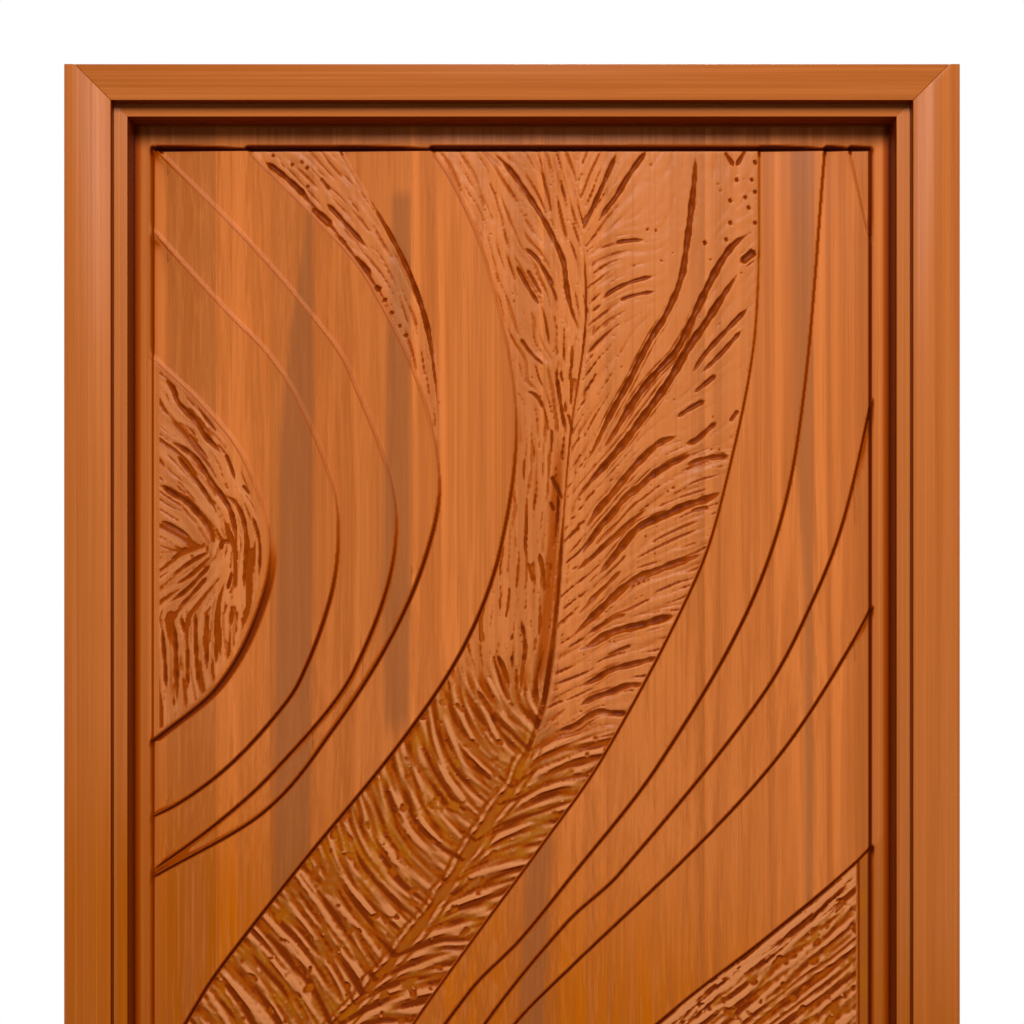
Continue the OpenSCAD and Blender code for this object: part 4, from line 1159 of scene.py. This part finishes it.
class DOOR_OT_frame(bpy.types.Operator):
    """Builds the frame and casing with eased edges"""
    bl_idname = "door.frame"
    bl_label = "Frame and casing"

    def execute(self, context):
        for i, (node, along) in enumerate(FRAME_PIECES):
            casing = node.startswith("casing")
            slot = "teak_casing" if casing else "teak_frame"
            # The casing head takes the darker frame tone as painted shade.
            tone = CASING_TONE if casing and along == "Z" else FRAME_TONE
            material = teak(f"{slot}_{i + 1}", (tone, tone), along, 5.3 * i + 2, carved=True)
            piece = merged_copy(node, f"{node}_eased", material)
            ease_edges(piece, CASING_EDGE if casing else FRAME_EDGE)
            paint_doorway_shade(piece, along)
            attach(piece, "frame")
            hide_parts(node)
        return {"FINISHED"}


class DOOR_OT_hardware(bpy.types.Operator):
    """Gives the hinges, screws and dowels their finish"""
    bl_idname = "door.hardware"
    bl_label = "Hardware"

    def execute(self, context):
        metal = brass("hinge_brass")
        pale = teak("dowel_wood", (1.2, 1.2), "X", 9.0)
        for name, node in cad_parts.items():
            if name.startswith("hinge_") or name.endswith("_screws"):
                node.material_slots[0].material = metal
            elif name == "corner_dowels":
                node.material_slots[0].material = pale
        return {"FINISHED"}


# Floor, light and camera.

def pale_floor():
    """A round pale floor just under the door's foot."""
    bpy.ops.mesh.primitive_circle_add(vertices=96, radius=2.2, fill_type="NGON", location=(0, 0, -0.001))
    floor = bpy.context.object
    floor.name = "floor"
    material = bpy.data.materials.new("floor_pale")
    material.use_nodes = True
    g = Graph(material.node_tree)
    shader = g.nodes["Principled BSDF"]
    where = g.add("ShaderNodeTexCoord").outputs["Object"]
    g.put(shader.inputs["Base Color"], g.mix(g.noise(where, (3, 3, 3)), *map(rgba, FLOOR_TINTS)))
    shader.inputs["Roughness"].default_value = 0.8
    floor.data.materials.append(material)


def studio(sky):
    """A white background, and a soft light that is strongest from above."""
    world = bpy.data.worlds.new("studio")
    bpy.context.scene.world = world
    world.use_nodes = True
    g = Graph(world.node_tree)
    g.nodes.clear()
    axes = g.add("ShaderNodeSeparateXYZ")
    g.put(axes.inputs[0], g.add("ShaderNodeTexCoord").outputs["Generated"])
    low = g.span(axes.outputs["Z"], -0.26, 0.05, 0.02, 0.09)
    glow = g.math("ADD", low, g.span(axes.outputs["Z"], 0.1, 0.75, 0.0, sky))
    path = g.add("ShaderNodeLightPath").outputs
    mirrored = g.math("MAXIMUM", path["Is Glossy Ray"], path["Is Transmission Ray"])
    seen = g.math("MAXIMUM", path["Is Camera Ray"], mirrored)
    background = g.add("ShaderNodeBackground")
    g.put(background.inputs["Color"], g.mix(seen, glow, (1.0, 1.0, 1.0, 1.0)))
    g.put(g.add("ShaderNodeOutputWorld").inputs["Surface"], background.outputs[0])


def lamp(name, place, target, size, power):
    """A round soft lamp that looks at a target."""
    bpy.ops.object.light_add(type="AREA", location=place)
    light = bpy.context.object
    light.name = name
    light.data.shape = "DISK"
    light.data.size = size
    light.data.energy = power
    light.rotation_euler = (Vector(target) - Vector(place)).to_track_quat("-Z", "Y").to_euler()


def front_camera(distance, height, lens):
    """A level camera before the casing, on the middle of the door."""
    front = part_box("casing_left")[0][1]
    bpy.ops.object.camera_add(location=(0, front - distance, height), rotation=(math.pi / 2, 0, 0))
    camera = bpy.context.object
    camera.data.lens = lens
    camera.data.clip_end = 50
    bpy.context.scene.camera = camera


class DOOR_OT_stage(bpy.types.Operator):
    """Builds the floor, the lights and the camera"""
    bl_idname = "door.stage"
    bl_label = "Stage"

    def execute(self, context):
        stage = context.scene.door_stage
        pale_floor()
        studio(stage.sky)
        lamp("key", (0.1, -3.3, 3.35), (0.0, 0.0, 1.4), 1.3, stage.key)
        lamp("back", (0.4, 3.4, 3.0), (0.0, 0.0, 1.2), 1.6, stage.back)
        front_camera(stage.distance, stage.height, stage.lens)
        context.scene.view_settings.view_transform = "Standard"
        return {"FINISHED"}


class DOOR_PT_panel(bpy.types.Panel):
    """Lists the door's settings and pieces"""
    bl_idname = "DOOR_PT_panel"
    bl_label = "Carved teak door"
    bl_space_type = "VIEW_3D"
    bl_region_type = "UI"
    bl_category = "Door"

    def draw(self, context):
        for group in (context.scene.door_leaf, context.scene.door_wood, context.scene.door_stage):
            box = self.layout.box()
            for key in group.__annotations__:
                box.prop(group, key)
        for operator in OPERATORS:
            self.layout.operator(operator.bl_idname)


OPERATORS = (DOOR_OT_leaf, DOOR_OT_frame, DOOR_OT_hardware, DOOR_OT_stage)
GROUPS = {"door_leaf": DOOR_PG_leaf, "door_wood": DOOR_PG_wood, "door_stage": DOOR_PG_stage}


def register():
    for cls in (*GROUPS.values(), *OPERATORS, DOOR_PT_panel):
        bpy.utils.register_class(cls)
    for key, cls in GROUPS.items():
        setattr(bpy.types.Scene, key, PointerProperty(type=cls))


def unregister():
    for key in GROUPS:
        delattr(bpy.types.Scene, key)
    for cls in (DOOR_PT_panel, *reversed(OPERATORS), *GROUPS.values()):
        bpy.utils.unregister_class(cls)


def main():
    register()
    bpy.ops.door.leaf()
    bpy.ops.door.frame()
    bpy.ops.door.hardware()
    bpy.ops.door.stage()


if __name__ == "__main__":
    main()
